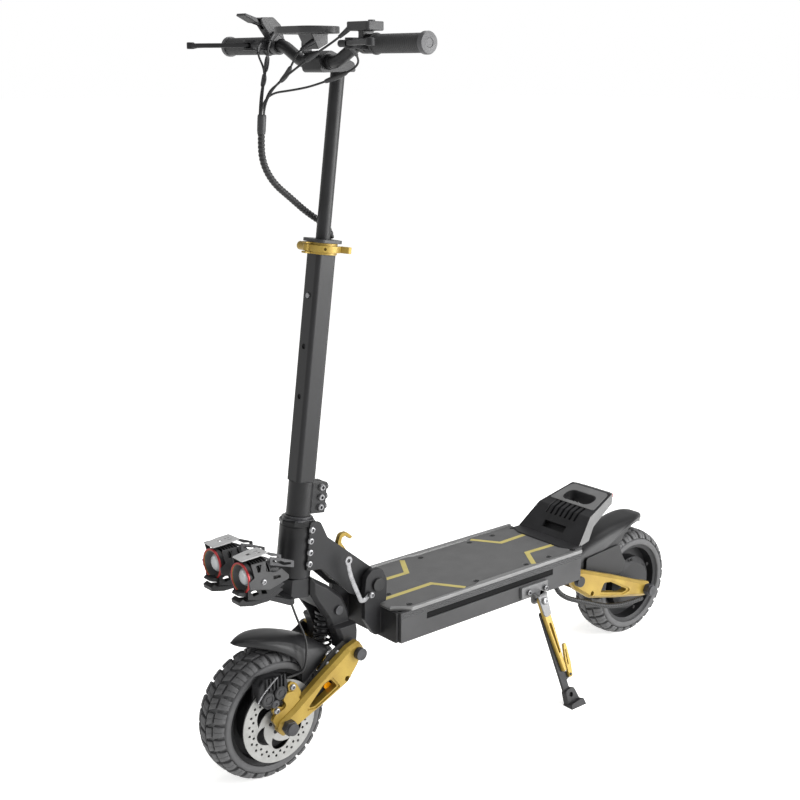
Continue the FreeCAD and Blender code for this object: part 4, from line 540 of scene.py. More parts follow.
def ringsAlong(path, radius, sides, about=(0.0, 1.0, 0.0)):
    # circles square to the path; radius is one number, one per point, or a grid of point x side
    tangent = np.gradient(path, axis=0)
    tangent /= np.linalg.norm(tangent, axis=1, keepdims=True)
    across = np.cross(tangent, np.array(about, float))
    across /= np.linalg.norm(across, axis=1, keepdims=True)
    over = np.cross(across, tangent)
    angle = np.linspace(0, 2 * np.pi, sides, endpoint=False)
    reach = np.broadcast_to(np.asarray(radius, float) if np.ndim(radius) == 2
                            else np.asarray(radius, float).reshape(-1, 1), (len(path), sides))
    return (path[:, None] + reach[..., None] * (np.cos(angle)[None, :, None] * across[:, None]
                                                + np.sin(angle)[None, :, None] * over[:, None]))


def tube(name, path, radius, material, sides=14, about=(0.0, 1.0, 0.0), sharpAngle=50):
    # a round tube on a line of points in metres; the radius is in mm
    rings = ringsAlong(path, np.asarray(radius) * mm, sides, about)
    faces = gridFaces(len(path), sides, wrapColumns=True, caps=True)
    return meshPiece(name, rings, faces, material, sharpAngle)


def roundedLoop(corners, steps=5):
    # a closed outline in mm whose corners (a, b, radius) turn in arcs
    spots = np.array([(c[0], c[1]) for c in corners], float)
    loop = []
    for i, corner in enumerate(corners):
        radius = corner[2] if len(corner) > 2 else 0.0
        back, on = spots[i - 1] - spots[i], spots[(i + 1) % len(spots)] - spots[i]
        back, on = back / np.linalg.norm(back), on / np.linalg.norm(on)
        half = math.acos(np.clip(back @ on, -1, 1)) / 2
        if radius == 0 or half > math.pi / 2 - 0.01:
            loop.append(spots[i])
            continue
        middle = (back + on) / np.linalg.norm(back + on)
        centre = spots[i] + middle * radius / math.sin(half)
        start, end = spots[i] + back * radius / math.tan(half), spots[i] + on * radius / math.tan(half)
        share = np.linspace(0, 1, steps)[:, None]
        chord = (start - centre) * (1 - share) + (end - centre) * share
        loop += list(centre + chord / np.linalg.norm(chord, axis=1, keepdims=True) * radius)
    return np.array(loop)


def cutPlate(name, loops, thickness, bevel, place, material, sharpAngle=25, bevelSteps=0):
    # a flat plate: the first loop is its outline in mm, the others are cut out, its edges bevelled
    data = bpy.data.curves.new(name, "CURVE")
    data.dimensions = "2D"
    data.fill_mode = "BOTH"
    data.extrude = (thickness / 2 - bevel) * mm
    data.bevel_depth = bevel * mm
    data.bevel_resolution = bevelSteps
    data.offset = -bevel * mm
    for loop in loops:
        spline = data.splines.new("POLY")
        spline.points.add(len(loop) - 1)
        flat = np.c_[np.asarray(loop, float)[:, :2] * mm, np.zeros(len(loop)), np.ones(len(loop))]
        spline.points.foreach_set("co", flat.ravel())
        spline.use_cyclic_u = True
    holder = bpy.data.objects.new(name, data)
    mesh = bpy.data.meshes.new_from_object(holder)
    bpy.data.objects.remove(holder)
    bpy.data.curves.remove(data)
    shell = bmesh.new()
    shell.from_mesh(mesh)
    bmesh.ops.remove_doubles(shell, verts=shell.verts, dist=0.001 * mm)
    bmesh.ops.transform(shell, matrix=Matrix(place.tolist()), verts=shell.verts)
    bmesh.ops.recalc_face_normals(shell, faces=shell.faces)
    shell.to_mesh(mesh)
    shell.free()
    mesh.shade_smooth()
    mesh.set_sharp_from_angle(angle=math.radians(sharpAngle))
    mesh.materials.clear()
    mesh.materials.append(material)
    piece = bpy.data.objects.new(name, mesh)
    scene.collection.objects.link(piece)
    return piece


def sidePlace(y):
    # plate drawn in (x, z) standing across Y, centred on y
    place = np.eye(4)
    place[:3, 0], place[:3, 1], place[:3, 2] = (1, 0, 0), (0, 0, 1), (0, -1, 0)
    place[1, 3] = y * mm
    return place


def flatPlace(z):
    # plate drawn in (x, y) lying at height z
    place = np.eye(4)
    place[2, 3] = z * mm
    return place


def buttonHeads(name, spots, along, radius, height, material, steps=24):
    # domed screw heads with a hexagon socket, one shell for each (x, y, z) spot in mm
    profile = np.array([(1, 0), (1, 0.35), (0.86, 0.8), (0.62, 1), (0.5, 1), (0.46, 0.92), (0.42, 0.35)])
    angle = np.linspace(0, 2 * np.pi, steps, endpoint=False)
    hexagon = 0.92 / np.cos((angle + np.pi / 6) % (np.pi / 3) - np.pi / 6)
    reach = np.repeat(profile[:, :1], steps, 1) * radius
    reach[-3:] *= hexagon
    points = np.stack([reach * np.cos(angle), reach * np.sin(angle),
                       np.repeat(profile[:, 1:] * height, steps, 1)], -1).reshape(-1, 3) * mm
    faces = gridFaces(len(profile), steps, wrapColumns=True, caps=True)
    places = [frameAt(np.array(spot) * mm, along) for spot in spots]
    return meshPiece(name, *copies(points, faces, places), material, 30)


# tyres
frontAxle, rearAxle = np.array([0.518, 0, 0.1275]), np.array([-0.518, 0, 0.1275])
frontX, frontZ = frontAxle[0] / mm, frontAxle[2] / mm
rearX, rearZ = rearAxle[0] / mm, rearAxle[2] / mm
tyre = {"pitches": 28, "depth": 6.0, "crown": 127.4, "belly": 39.6, "middle": 101.0, "bead": 94.5,
        "beadHalf": 32.0, "square": 2.7, "wall": 8.0, "inside": 0.93, "shoulder": 43.0, "fade": 8.0,
        "rib": (60.0, 1.5, 1.2)}  # the rib's run, width and height
# inner and outer edge across the tread in mm, share of the pitch, shift, skew, slit depth in mm
treadRows = [
    (1.5, 18.4, 0.78, 0.00, 0.24, 1.0),
    (21.6, 46.5, 0.80, 0.30, 0.10, 1.3)]
block = {  # one tread block as a grid: its lines, how far each sinks, and where the slit across it runs
    "lines": (0, 0.03, 0.1, 0.3, 0.47, 0.485, 0.515, 0.53, 0.7, 0.9, 0.97, 1),
    "sink": (1, 0.12, 0, 0, 0, 0, 0, 0, 0, 0, 0.12, 1),
    "slitAlong": (0, 0, 0, 0, 0, 1, 1, 0, 0, 0, 0, 0), "slitAcross": (0, 0, 1, 1, 1, 1, 1, 1, 1, 1, 0, 0),
    "root": 1.5, "taper": 0.175, "bow": 0.042}


def tyreSection():
    # superellipse from crown to belly, then a quarter ellipse in to the bead; gives run, radius, half width
    turn = np.linspace(0, np.pi / 2, 90)
    power = 2 / tyre["square"]
    radius = tyre["middle"] + (tyre["crown"] - tyre["middle"]) * np.cos(turn) ** power
    side = tyre["belly"] * np.sin(turn) ** power
    low = np.linspace(0, np.pi / 2, 12)[1:]
    radius = np.r_[radius, tyre["middle"] - (tyre["middle"] - tyre["bead"]) * np.sin(low)]
    side = np.r_[side, tyre["belly"] - (tyre["belly"] - tyre["beadHalf"]) * (1 - np.cos(low))]
    run = np.r_[0, np.cumsum(np.hypot(np.diff(radius), np.diff(side)))]
    return run, radius, side


tyreRun, tyreRadius, tyreSide = tyreSection()


def onTyre(angle, across, height):
    # a point at an angle round the wheel, a run across the tread and a height along the section's normal
    angle, across, height = np.broadcast_arrays(angle, across, height)
    run = np.abs(across)
    radius, side = np.interp(run, tyreRun, tyreRadius), np.interp(run, tyreRun, tyreSide)
    slopeR = np.interp(run, tyreRun, np.gradient(tyreRadius, tyreRun))
    slopeY = np.interp(run, tyreRun, np.gradient(tyreSide, tyreRun))
    length = np.hypot(slopeR, slopeY)
    radius = radius + height * slopeY / length
    side = (side - height * slopeR / length) * np.where(across < 0, -1, 1)
    return np.stack([radius * np.cos(angle), side, radius * np.sin(angle)], -1)


def smoothStep(value):
    value = np.clip(value, 0, 1)
    return value * value * (3 - 2 * value)


def makeTyre(name, axle, body, node):
    # the section turned round the axle and sunk between the blocks, each block a grid rooted in it
    steps = tyre["pitches"] * 8
    angle = np.linspace(0, 2 * np.pi, steps, endpoint=False)
    across = np.linspace(-tyreRun[-1], tyreRun[-1], 72)
    sink = -tyre["depth"] * (1 - smoothStep((np.abs(across) - tyre["shoulder"]) / tyre["fade"]))
    place, width, height = tyre["rib"]
    rib = height * np.exp(-((np.abs(across) - place) / width) ** 2)
    outer = onTyre(angle[None], across[:, None], (sink + rib)[:, None])
    inner = onTyre(angle[None], across[::-1, None] * tyre["inside"], np.full((len(across), 1), -tyre["wall"]))
    carcass = np.concatenate([outer, inner]).reshape(-1, 3)
    faces = gridFaces(2 * len(across), steps, wrapRows=True, wrapColumns=True)
    share, drop = np.array(block["lines"], float), np.array(block["sink"], float)
    slit = np.outer(block["slitAlong"], block["slitAcross"])
    size = len(share)
    grid = np.arange(size * size).reshape(size, size)
    rim = np.r_[grid[0, :], grid[1:, -1], grid[-1, -2::-1], grid[-2:0:-1, 0]].tolist()
    blockFaces = gridFaces(size, size) + [rim[::-1]]
    blocks = []
    pitch = 2 * np.pi / tyre["pitches"]
    wide, deep = share[None, :, None], share[None, None, :]
    fall = (tyre["depth"] + block["root"]) * np.maximum(drop[None, :, None], drop[None, None, :])
    bow = block["bow"] * np.sin(np.pi * deep) * (slit[None] > 0)
    bend = (wide - 0.5) * (0.5 - deep) * block["taper"] + bow
    for low, high, width, shift, skew, slitDepth in treadRows:
        for side, phase in ((-1, 0.0), (1, 0.5)):
            start = (np.arange(tyre["pitches"])[:, None, None] + shift + phase) * pitch
            turn = start + (wide * width + deep * skew + bend) * pitch
            run = side * (low + (high - low) * deep)
            blocks.append(onTyre(turn, run, -fall - slitDepth * slit[None]).reshape(-1, 3))
    points = np.concatenate([carcass] + blocks) * mm + axle
    for offset in range(len(carcass), len(points), size * size):
        faces += [[corner + offset for corner in face] for face in blockFaces]
    piece = meshPiece(name, points, faces, tyreRubber, 40)
    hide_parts(node)
    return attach(piece, body)


makeTyre("frontTyreTread", frontAxle, "front_wheel", "front_tyre")
makeTyre("rearTyreTread", rearAxle, "rear_wheel", "rear_tyre")
print("stage: tyres")


# brake discs
disc = {"radius": 81.0, "thickness": 2.2, "bore": 14.0, "plane": 55.0, "holes": 24, "holeRadius": 2.6,
        "rows": (60.5, 68.0), "windows": 6, "inner": 33.0, "rise": 14.0, "leaf": 17.0, "sweep": 58.0,
        "bolts": 6, "boltCircle": 21.0, "boltHead": (3.6, 2.2)}


def ringLoop(x, z, radius, steps=16):
    # a circle as a closed outline
    angle = np.linspace(0, 2 * np.pi, steps, endpoint=False)
    return np.c_[x + radius * np.cos(angle), z + radius * np.sin(angle)]


def makeDisc(name, axle, side, body, node):
    # flat ring with leaf windows: along t the inner edge climbs by rise t while the angle falls by sweep t,
    # and the outer edge stands leaf sin(pi t^0.65) above it
    x, z = axle[0] / mm, axle[2] / mm
    loops = [ringLoop(x, z, disc["radius"], 120), ringLoop(x, z, disc["bore"], 40)]
    share = np.linspace(0, 1, 20)
    inner = disc["inner"] + disc["rise"] * share
    outer = inner + disc["leaf"] * np.sin(np.pi * share ** 0.65)
    radii = np.r_[inner, outer[-2:0:-1]]
    fall = np.radians(disc["sweep"]) * np.r_[share, share[-2:0:-1]]
    for i in range(disc["windows"]):
        turn = side * (2 * np.pi * i / disc["windows"] - fall)
        loops.append(np.c_[x + radii * np.cos(turn), z + radii * np.sin(turn)])
    for i in range(disc["holes"]):
        turn = 2 * np.pi * i / disc["holes"]
        for row, lag in zip(disc["rows"], (0.0, math.pi / disc["holes"])):
            across, up = row * math.cos(turn + lag), row * math.sin(turn + lag)
            loops.append(ringLoop(x + across, z + up, disc["holeRadius"], 10))
    piece = cutPlate(name, loops, disc["thickness"], 0.25, sidePlace(side * disc["plane"]), groundSteel)
    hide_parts(node)
    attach(piece, body)
    turns = np.arange(disc["bolts"]) * 2 * np.pi / disc["bolts"]
    reach = disc["boltCircle"]
    bolts = [(x + reach * math.cos(t), side * (disc["plane"] + 1), z + reach * math.sin(t)) for t in turns]
    heads = buttonHeads(name + "Bolts", bolts, (0, side, 0), *disc["boltHead"], darkSteel)
    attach(heads, body)


makeDisc("frontBrakeDiscPlate", frontAxle, 1, "front_wheel", "front_brake_disc")
makeDisc("rearBrakeDiscPlate", rearAxle, -1, "rear_wheel", "rear_brake_disc")
print("stage: brake discs")


# mudguards
def smoothLine(points, count):
    # a line through the points by centripetal Catmull-Rom: each span blends its four neighbours
    spots = np.array(points, float)
    spots = np.vstack([2 * spots[0] - spots[1], spots, 2 * spots[-1] - spots[-2]])
    knots = np.r_[0, np.cumsum(np.sqrt(np.linalg.norm(np.diff(spots, axis=0), axis=1)))]
    marks = np.linspace(knots[1], knots[-2], count)
    span = np.clip(np.searchsorted(knots, marks, side="right") - 1, 1, len(knots) - 3)
    t0, t1, t2, t3 = (knots[span + k][:, None] for k in (-1, 0, 1, 2))
    p0, p1, p2, p3 = (spots[span + k] for k in (-1, 0, 1, 2))
    t = marks[:, None]
    a1 = ((t1 - t) * p0 + (t - t0) * p1) / (t1 - t0)
    a2 = ((t2 - t) * p1 + (t - t1) * p2) / (t2 - t1)
    a3 = ((t3 - t) * p2 + (t - t2) * p3) / (t3 - t2)
    b1 = ((t2 - t) * a1 + (t - t0) * a2) / (t2 - t0)
    b2 = ((t3 - t) * a2 + (t - t1) * a3) / (t3 - t1)
    return ((t2 - t) * b1 + (t - t1) * b2) / (t2 - t1)


frontGuard = {  # crown and skirt (x, z) from the axle, half width along the crown, mm
    "crown": [(65, 156), (56, 160), (38, 162), (12, 161), (-16, 157), (-44, 150), (-72, 140), (-96, 128),
              (-112, 118), (-121, 110)],
    "skirt": [(64, 154), (54, 150), (34, 146), (10, 139), (-18, 127), (-44, 108), (-58, 82), (-60, 50),
              (-88, 72), (-120, 104)],
    "half": [5, 17, 32, 43, 47.5, 48.5, 48.5, 48.5, 48.5, 48.5],
    "crease": (0.56, 0.50), "arch": 2.7, "wall": 2.5}
rearGuard = {
    "crown": [(205, 106), (188, 121), (158, 134), (118, 144), (80, 153), (38, 160), (2, 164), (-26, 165.5),
              (-43, 162), (-53, 153), (-57, 141)],
    "skirt": [(200, 88), (176, 66), (150, 55), (118, 54), (86, 74), (62, 106), (40, 134), (12, 147),
              (-18, 147), (-42, 141), (-56, 134)],
    "half": [38, 42, 43.6, 43.8, 43.8, 43.8, 43, 40, 33, 20, 5],
    "crease": (0.74, 0.74), "arch": 4.0, "wall": 2.5}
guardRidge = {"high": 1.1, "wide": 0.035, "fade": 6.0}  # the crease along each side


def makeGuard(name, guard, axle, body, node):
    # superellipse arch from the crown line out and down to the skirt line, with a faint crease along it
    rows, columns = 72, 57
    crown, skirt = smoothLine(guard["crown"], rows), smoothLine(guard["skirt"], rows)
    half = np.interp(np.linspace(0, 1, rows), np.linspace(0, 1, len(guard["half"])), guard["half"])
    half = np.convolve(np.r_[half[:1].repeat(4), half, half[-1:].repeat(4)], np.ones(9) / 9, "valid")
    sweep = np.linspace(-1, 1, columns)
    power = 2 / guard["arch"]
    out = np.sin(np.abs(sweep) * np.pi / 2) ** power
    down = 1 - np.cos(np.abs(sweep) * np.pi / 2) ** power
    along = np.linspace(0, 1, rows)[:, None]
    fold = np.interp(along, (0, 1), guard["crease"])
    ends = smoothStep(along * guardRidge["fade"]) * smoothStep((1 - along) * guardRidge["fade"])
    ridge = guardRidge["high"] * np.exp(-((np.abs(sweep)[None] - fold) / guardRidge["wide"]) ** 2) * ends
    flat = crown[:, None] + (skirt - crown)[:, None] * down[None, :, None]
    y = np.sign(sweep)[None] * (half[:, None] * out[None] + ridge * out[None])
    points = np.stack([flat[..., 0], y, flat[..., 1]], -1) * mm + axle
    piece = meshPiece(name, points, gridFaces(rows, columns), guardPlastic, 50, closed=False)
    middle = piece.data.polygons[(rows // 2) * (columns - 1) + columns // 2]
    if middle.normal.z < 0:
        piece.data.flip_normals()
    wall = piece.modifiers.new("mouldedWall", "SOLIDIFY")
    wall.thickness = guard["wall"] * mm
    wall.offset = -1
    wall.use_even_offset = True
    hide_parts(node)
    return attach(piece, body)


makeGuard("frontGuardShell", frontGuard, frontAxle, "front_arm", "front_fender")
makeGuard("rearGuardShell", rearGuard, rearAxle, "rear_arm", "rear_fender")
print("stage: mudguards")


# deck stripes
stripes = {"width": 11.0, "thick": 0.5, "top": 294.0,
           "front": [(271, 40), (125, 38), (86, 98)], "rear": [(-248, 44), (-152, 40), (-114, 97)]}


def stripeLoop(path, width):
    # outline of a bent band: the path shifted half a width each way, its bend mitred
    spots = np.array(path, float)
    runs = np.diff(spots, axis=0)
    runs /= np.linalg.norm(runs, axis=1, keepdims=True)
    square = np.c_[-runs[:, 1], runs[:, 0]]
    mitre = np.vstack([square[0], (square[0] + square[1]) / (1 + square[0] @ square[1]), square[1]])
    return np.vstack([spots + mitre * width / 2, (spots - mitre * width / 2)[::-1]])


for end in ("front", "rear"):
    for side in (-1, 1):
        loop = stripeLoop([(x, side * y) for x, y in stripes[end]], stripes["width"])
        band = cutPlate(f"{end}Stripe{'Left' if side > 0 else 'Right'}", [loop], stripes["thick"], 0.05,
                        flatPlace(stripes["top"]), stripePaint)
        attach(band, "deck")
print("stage: deck stripes")


# coil spring
spring = {"top": (364, 0, 302), "foot": (380, 0, 196), "seat": 19.3, "end": 21.0, "wire": 2.75,
          "radius": 16.7, "turns": 5.6}


def makeSpring():
    # helix about the line of the shock; its pitch closes at both ends
    top, base = np.array(spring["top"]) * mm, np.array(spring["foot"]) * mm
    run = (base - top) / np.linalg.norm(base - top)
    low, high = top + run * spring["seat"] * mm, base - run * spring["end"] * mm
    share = np.linspace(0, 1, 260)
    travel = share - 0.03 * np.sin(2 * np.pi * share)
    place = frameAt(low, run)
    turn = 2 * np.pi * spring["turns"] * share
    length = np.linalg.norm(high - low)
    inset = spring["wire"] * mm
    coil = np.stack([spring["radius"] * mm * np.cos(turn), spring["radius"] * mm * np.sin(turn),
                     inset + (length - 2 * inset) * travel], -1)
    path = coil @ place[:3, :3].T + place[:3, 3]
    piece = tube("frontCoilSpring", path, spring["wire"], powderCoat, 10, about=run)
    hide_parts("front_spring")
    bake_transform(piece)


makeSpring()
print("stage: spring")


# grips
grip = {"radius": 15.8, "inner": 157.0, "outer": 276.0, "ribs": 26, "depth": 0.5, "core": 11.2,
        "flange": 18.0, "cap": 18.4}


def makeGrips():
    # sleeve whose radius dips in rounded grooves along it, between a flange and a domed end plug
    along = np.linspace(0, 1, 209)
    y = grip["inner"] + (grip["outer"] - grip["inner"]) * along
    radius = grip["radius"] - grip["depth"] * np.clip(np.sin(along * grip["ribs"] * 2 * np.pi), 0, 1) ** 2
    low, high, flange, plug = grip["inner"], grip["outer"], grip["flange"], grip["cap"]
    profile = [(grip["core"], low - 4), (flange - 1, low - 4), (flange, low - 3), (flange, low - 1),
               (flange - 1, low)] + list(zip(radius, y)) + [(grip["core"], high)]
    cap = [(grip["core"] + 0.2, high), (plug - 1, high), (plug, high + 1), (plug, high + 8),
           (plug - 1.4, high + 10.4), (8, high + 11), (7, high + 10.2), (0.4, high + 10)]
    for side, word in ((-1, "Right"), (1, "Left")):
        middle = np.array([barMiddle[0], 0, barMiddle[1]]) * mm
        sleeve = spun("grip" + word, profile, middle, (0, side, 0), gripRubber, 48, 30, wrap=True)
        endPlug = spun("gripPlug" + word, cap, middle, (0, side, 0), greyPlastic, 48, 30)
        if side > 0:
            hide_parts("grips")
        for piece, slot in ((sleeve, "grip_rubber"), (endPlug, "grey_plastic")):
            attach(piece, "bars")


makeGrips()
print("stage: grips")


# headlights
lamp = {"spread": 46.0, "ahead": 543.6, "height": 427.0, "roof": 461.0, "side": 30.0, "lower": 22.0,
        "strip": 20.0, "jawShift": 9.0, "jawWidth": 26.0, "lipWidth": 20.0, "armWidth": 15.0,
        "screw": (561, 422, 5.4, 3.0),
        "fins": 6, "finPitch": 6.0, "finStart": -2.0, "dome": (15.4, 37.6, 6.4)}
lampBeam = {"corners": [(476, -53, 3), (489, -53, 3), (489, 53, 3), (476, 53, 3)], "high": 12.0,
            "middle": 355.0}
lampProfiles = {  # (radius, height along the lamp) in mm
    "back": [(0.2, -27), (17, -26), (18, -24), (18, -6), (23, -4)],
    "fin": [(23.5, 0), (28.4, 0.4), (28.4, 2.6), (23.5, 3)],
    "rim": [(26, 35), (28.6, 37), (28.8, 44.2), (26.5, 44.8), (24.6, 43.2), (22.5, 33), (0.2, 32)],
    "ring": [(25.9, 44.5), (28.7, 44.5), (28.9, 46.8), (28.2, 48.0), (26.5, 48.0), (25.9, 47.2)],
    "seat": [(24.8, 43.8), (25.9, 43.8), (25.9, 46.8), (25.3, 47.3), (24.8, 46.6)],
    "bell": [(24.8, 46.4), (24.2, 45.8), (22.6, 43.6), (20.5, 39.5), (17.6, 36.0), (15.8, 35.4), (15.8, 34.2),
             (18, 34.0), (24.8, 43.5)],
    "dish": [(15.4, 37.4), (12, 35.8), (6, 34.4), (0.3, 34.0), (0.3, 33.2), (16.0, 33.2), (16.0, 37.4)]}
lampShapes = {  # outlines in (x, z) mm with corner radii; the roof is (x, y from the lamp's middle)
    "roof": [(591, -22, 1.5), (592, 9, 1.5), (556, 6, 2), (529, 0, 1.5), (531, -34, 1.5), (560, -31, 2)],
    "roofSlots": [[(560, -18, 1.2), (568, -19, 1.2), (568, -10, 1.2), (560, -9, 1.2)],
                  [(541, -20, 1.2), (552, -20, 1.2), (552, -16, 1.2), (541, -16, 1.2)],
                  [(541, -11, 1.2), (552, -11, 1.2), (552, -7, 1.2), (541, -7, 1.2)]],
    "side": [(587, 460, 1), (556, 460, 1), (555, 440, 2), (536, 434, 2), (522, 438, 2), (506, 422, 3),
             (506, 415, 2), (548, 404, 3), (590, 414, 2), (592, 428, 2), (580, 434, 3)],
    "sideCuts": [[(577, 456, 1.5), (565, 456, 1.5), (568, 442, 1.5), (573, 442, 1.5)],
                 [(540, 428, 1.5), (524, 426, 1.5), (524, 421, 1.5), (540, 421, 1.5)]],
    "lower": [(590, 412, 1), (548, 403, 2), (520, 408, 2), (508, 404, 1.5), (545, 388, 2), (556, 383, 2),
              (590, 392, 1.5)],
    "lowerCuts": [[(585, 408, 1), (572, 406, 1), (566, 398, 1), (578, 396, 1)],
                  [(562, 404, 1), (552, 402, 1), (548, 394, 1), (560, 396, 1)]],
    "jaw": [(606, 384, 1), (608, 392, 0.8), (600, 396, 1), (594, 390, 2), (560, 384, 3), (548, 388, 3),
            (520, 398, 2), (512, 392, 1.5), (545, 378, 4), (580, 378, 4)],
    "lip": [(600, 400, 1), (609, 404, 0.8), (606, 409, 0.8), (585, 404, 2), (575, 398, 1), (585, 396, 1)],
    "strip": [(540, 461, 1.5), (514, 452, 4), (487, 441, 2), (487, 428, 2), (512, 436, 4), (540, 445, 2)],
    "stripSlot": [(534, 455, 1.2), (520, 450, 2), (508, 443, 2), (494, 440, 1.2), (494, 436, 1.2),
                  (510, 438, 2), (522, 445, 2), (534, 450, 1.2)],
    "arm": [(487, 349, 2), (487, 361, 2), (550, 388, 2), (574, 388, 2), (576, 383, 2), (548, 379, 2)]}


def makeLamp(side):
    # profiles turned about the lamp's axis; the lens is a quarter ellipse
    word = "Left" if side > 0 else "Right"
    origin = np.array([lamp["ahead"], side * lamp["spread"], lamp["height"]]) * mm
    body = list(lampProfiles["back"])
    for i in range(lamp["fins"]):
        start = lamp["finStart"] + lamp["finPitch"] * i
        body += [(radius, start + high) for radius, high in lampProfiles["fin"]]
    body += lampProfiles["rim"]
    reach, foot, high = lamp["dome"]
    turn = np.linspace(0, np.pi / 2, 14)[:-1]
    lens = [(reach, foot - 2)] + [(reach * math.cos(t), foot + high * math.sin(t)) for t in turn]
    lens.append((0.2, foot + high))
    parts = [  # name, profile, finish, slot, steps round, sharp angle, ring with a hole
        ("Body", body, powderCoat, "black_alloy", 56, 30, False),
        ("Ring", lampProfiles["ring"], redAnodised, "gold_alloy", 64, 30, True),
        ("Seat", lampProfiles["seat"], yellowBrass, "gold_alloy", 64, 30, True),
        ("Bell", lampProfiles["bell"], midGrey, "dark_steel", 56, 25, True),
        ("Dish", lampProfiles["dish"], reflector, "bright_steel", 48, 25, True),
        ("Lens", lens, lensGlass, "lens_glass", 48, 60, False)]
    return [(spun("lamp" + tag + word, profile, origin, (1, 0, 0), material, steps, sharp, wrap), slot)
            for tag, profile, material, slot, steps, sharp, wrap in parts]


def lampPlate(name, outline, cuts, thickness, place, material):
    loops = [roundedLoop(lampShapes[outline])] + [roundedLoop(cut) for cut in cuts]
    return cutPlate(name, loops, thickness, 0.3, place, material), "black_alloy"


def makeLampFrames():
    # roof, cage and lower plates, strips back to the column, jaws below and the cross beam
    pieces = []
    for side, word in ((-1, "Right"), (1, "Left")):
        y = side * lamp["spread"]
        roof = flatPlace(lamp["roof"])
        roof[1, 3] = y * mm
        pieces.append(lampPlate("lampRoof" + word, "roof", lampShapes["roofSlots"], 2.0, roof, plateGrey))
        for edge, tag in ((-1, "Inner"), (1, "Outer")):
            shift = y + edge * lamp["side"]
            pieces.append(lampPlate(f"lampCage{tag}{word}", "side", lampShapes["sideCuts"], 2.0,
                                    sidePlace(shift), midGrey))
            x, z, radius, high = lamp["screw"]
            screw = buttonHeads(f"lampScrew{tag}{word}", [(x, shift + edge, z)], (0, edge, 0), radius, high,
                                zincSteel)
            pieces.append((screw, "bright_steel"))
            pieces.append(lampPlate(f"lampLower{tag}{word}", "lower", lampShapes["lowerCuts"], 2.4,
                                    sidePlace(y + edge * lamp["lower"]), powderCoat))
            pieces.append(lampPlate(f"lampStrip{tag}{word}", "strip", [lampShapes["stripSlot"]], 2.0,
                                    sidePlace(y + edge * lamp["strip"]), greyPlastic))
        under = sidePlace(y + lamp["jawShift"])
        pieces.append(lampPlate("lampJaw" + word, "jaw", [], lamp["jawWidth"], under, powderCoat))
        pieces.append(lampPlate("lampLip" + word, "lip", [], lamp["lipWidth"], under, powderCoat))
        pieces.append(lampPlate("lampArm" + word, "arm", [], lamp["armWidth"], sidePlace(y), powderCoat))
    beam = cutPlate("lampBeam", [roundedLoop(lampBeam["corners"])], lampBeam["high"], 1.2,
                    flatPlace(lampBeam["middle"]), powderCoat)
    return pieces + [(beam, "black_alloy")]


rightLamp, leftLamp = makeLamp(-1), makeLamp(1)
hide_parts("headlights")
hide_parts("headlight_lenses")
for piece, slot in rightLamp + leftLamp + makeLampFrames():
    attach(piece, "fork")
print("stage: headlights")


# screws
def onColumn(x, y, high):
    # a point drawn upright about the steering axis, in its real place, mm
    return (columnFoot[0] + x * math.cos(rake) - high * math.sin(rake), y,
            columnFoot[1] + x * math.sin(rake) + high * math.cos(rake))


clampSpots = [onColumn(-38, 14.6, 170 + 19 * i) for i in range(3)]
neckSpots = [(424.5, 477.4), (428, 456.5), (429.9, 434.3), (432.1, 412.3)]  # x, z
neckLeft, neckRight = [(x, 38, z) for x, z in neckSpots], [(x, -38, z) for x, z in neckSpots]
motorTurns = np.arange(6) * np.pi / 3 + 0.4
motorSpots = [(rearX + 62 * math.cos(t), 38.6, rearZ + 62 * math.sin(t)) for t in motorTurns]
left, right = (0, 1, 0), (0, -1, 0)
screwSets = {  # places in mm, way they face, radius, height, finish, slot, body
    "clampScrews": (clampSpots, left, 7.0, 6.4, zincSteel, "bright_steel", "fork"),
    "bracketScrews": ([(-80, 115.5, 245), (-130, 115.5, 243)], left, 6.6, 6.6, zincSteel, "bright_steel",
                      "deck"),
    "standPivotHead": ([(-106.4, 140.4, 226.2)], (-0.04, 0.954, 0.3), 7.4, 3.4, zincSteel,
                      "bright_steel", "deck"),
    "guardScrews": ([(388, 64, 231), (411, 64, 214)], left, 4.4, 3.0, zincSteel, "bright_steel", "front_arm"),
    "caliperScrews": ([(498.5, 71.5, 196.6), (535, 71.5, 160)], left, 6.2, 4.0, zincSteel, "bright_steel",
                      "front_arm"),
    "neckScrewsLeft": (neckLeft, left, 6.6, 4.2, zincSteel, "bright_steel", "neck"),
    "neckScrewsRight": (neckRight, right, 6.6, 4.2, zincSteel, "bright_steel", "neck"),
    # the motor screws share that near black of painted shade
    "motorScrews": (motorSpots, left, 3.8, 3.4, paintedShadeScrews, "dark_steel", "rear_wheel"),
    "latchScrew": ([(304, 64.5, 325)], left, 6.4, 4.4, zincSteel, "bright_steel", "deck"),
}
for name, (spots, along, radius, height, material, slot, body) in screwSets.items():
    heads = buttonHeads(name, spots, along, radius, height, material)
    if name == "neckScrewsLeft":
        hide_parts("neck_screws")
    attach(heads, body)
print("stage: screws")


# safety latch
latch = {"line": [(355.5, 401), (354, 392), (349.5, 374), (343, 357), (336.5, 342), (330, 328), (325, 318),
                  (317, 316), (309, 321), (304, 325)],
         "plane": 59.6, "halfWidth": 4.8, "halfWall": 1.3, "square": 6.0, "ring": (355.8, 406.5),
         "ringProfile": [(4, -1.4), (8.2, -1.4), (8.4, 0), (8.2, 1.4), (4, 1.4)]}


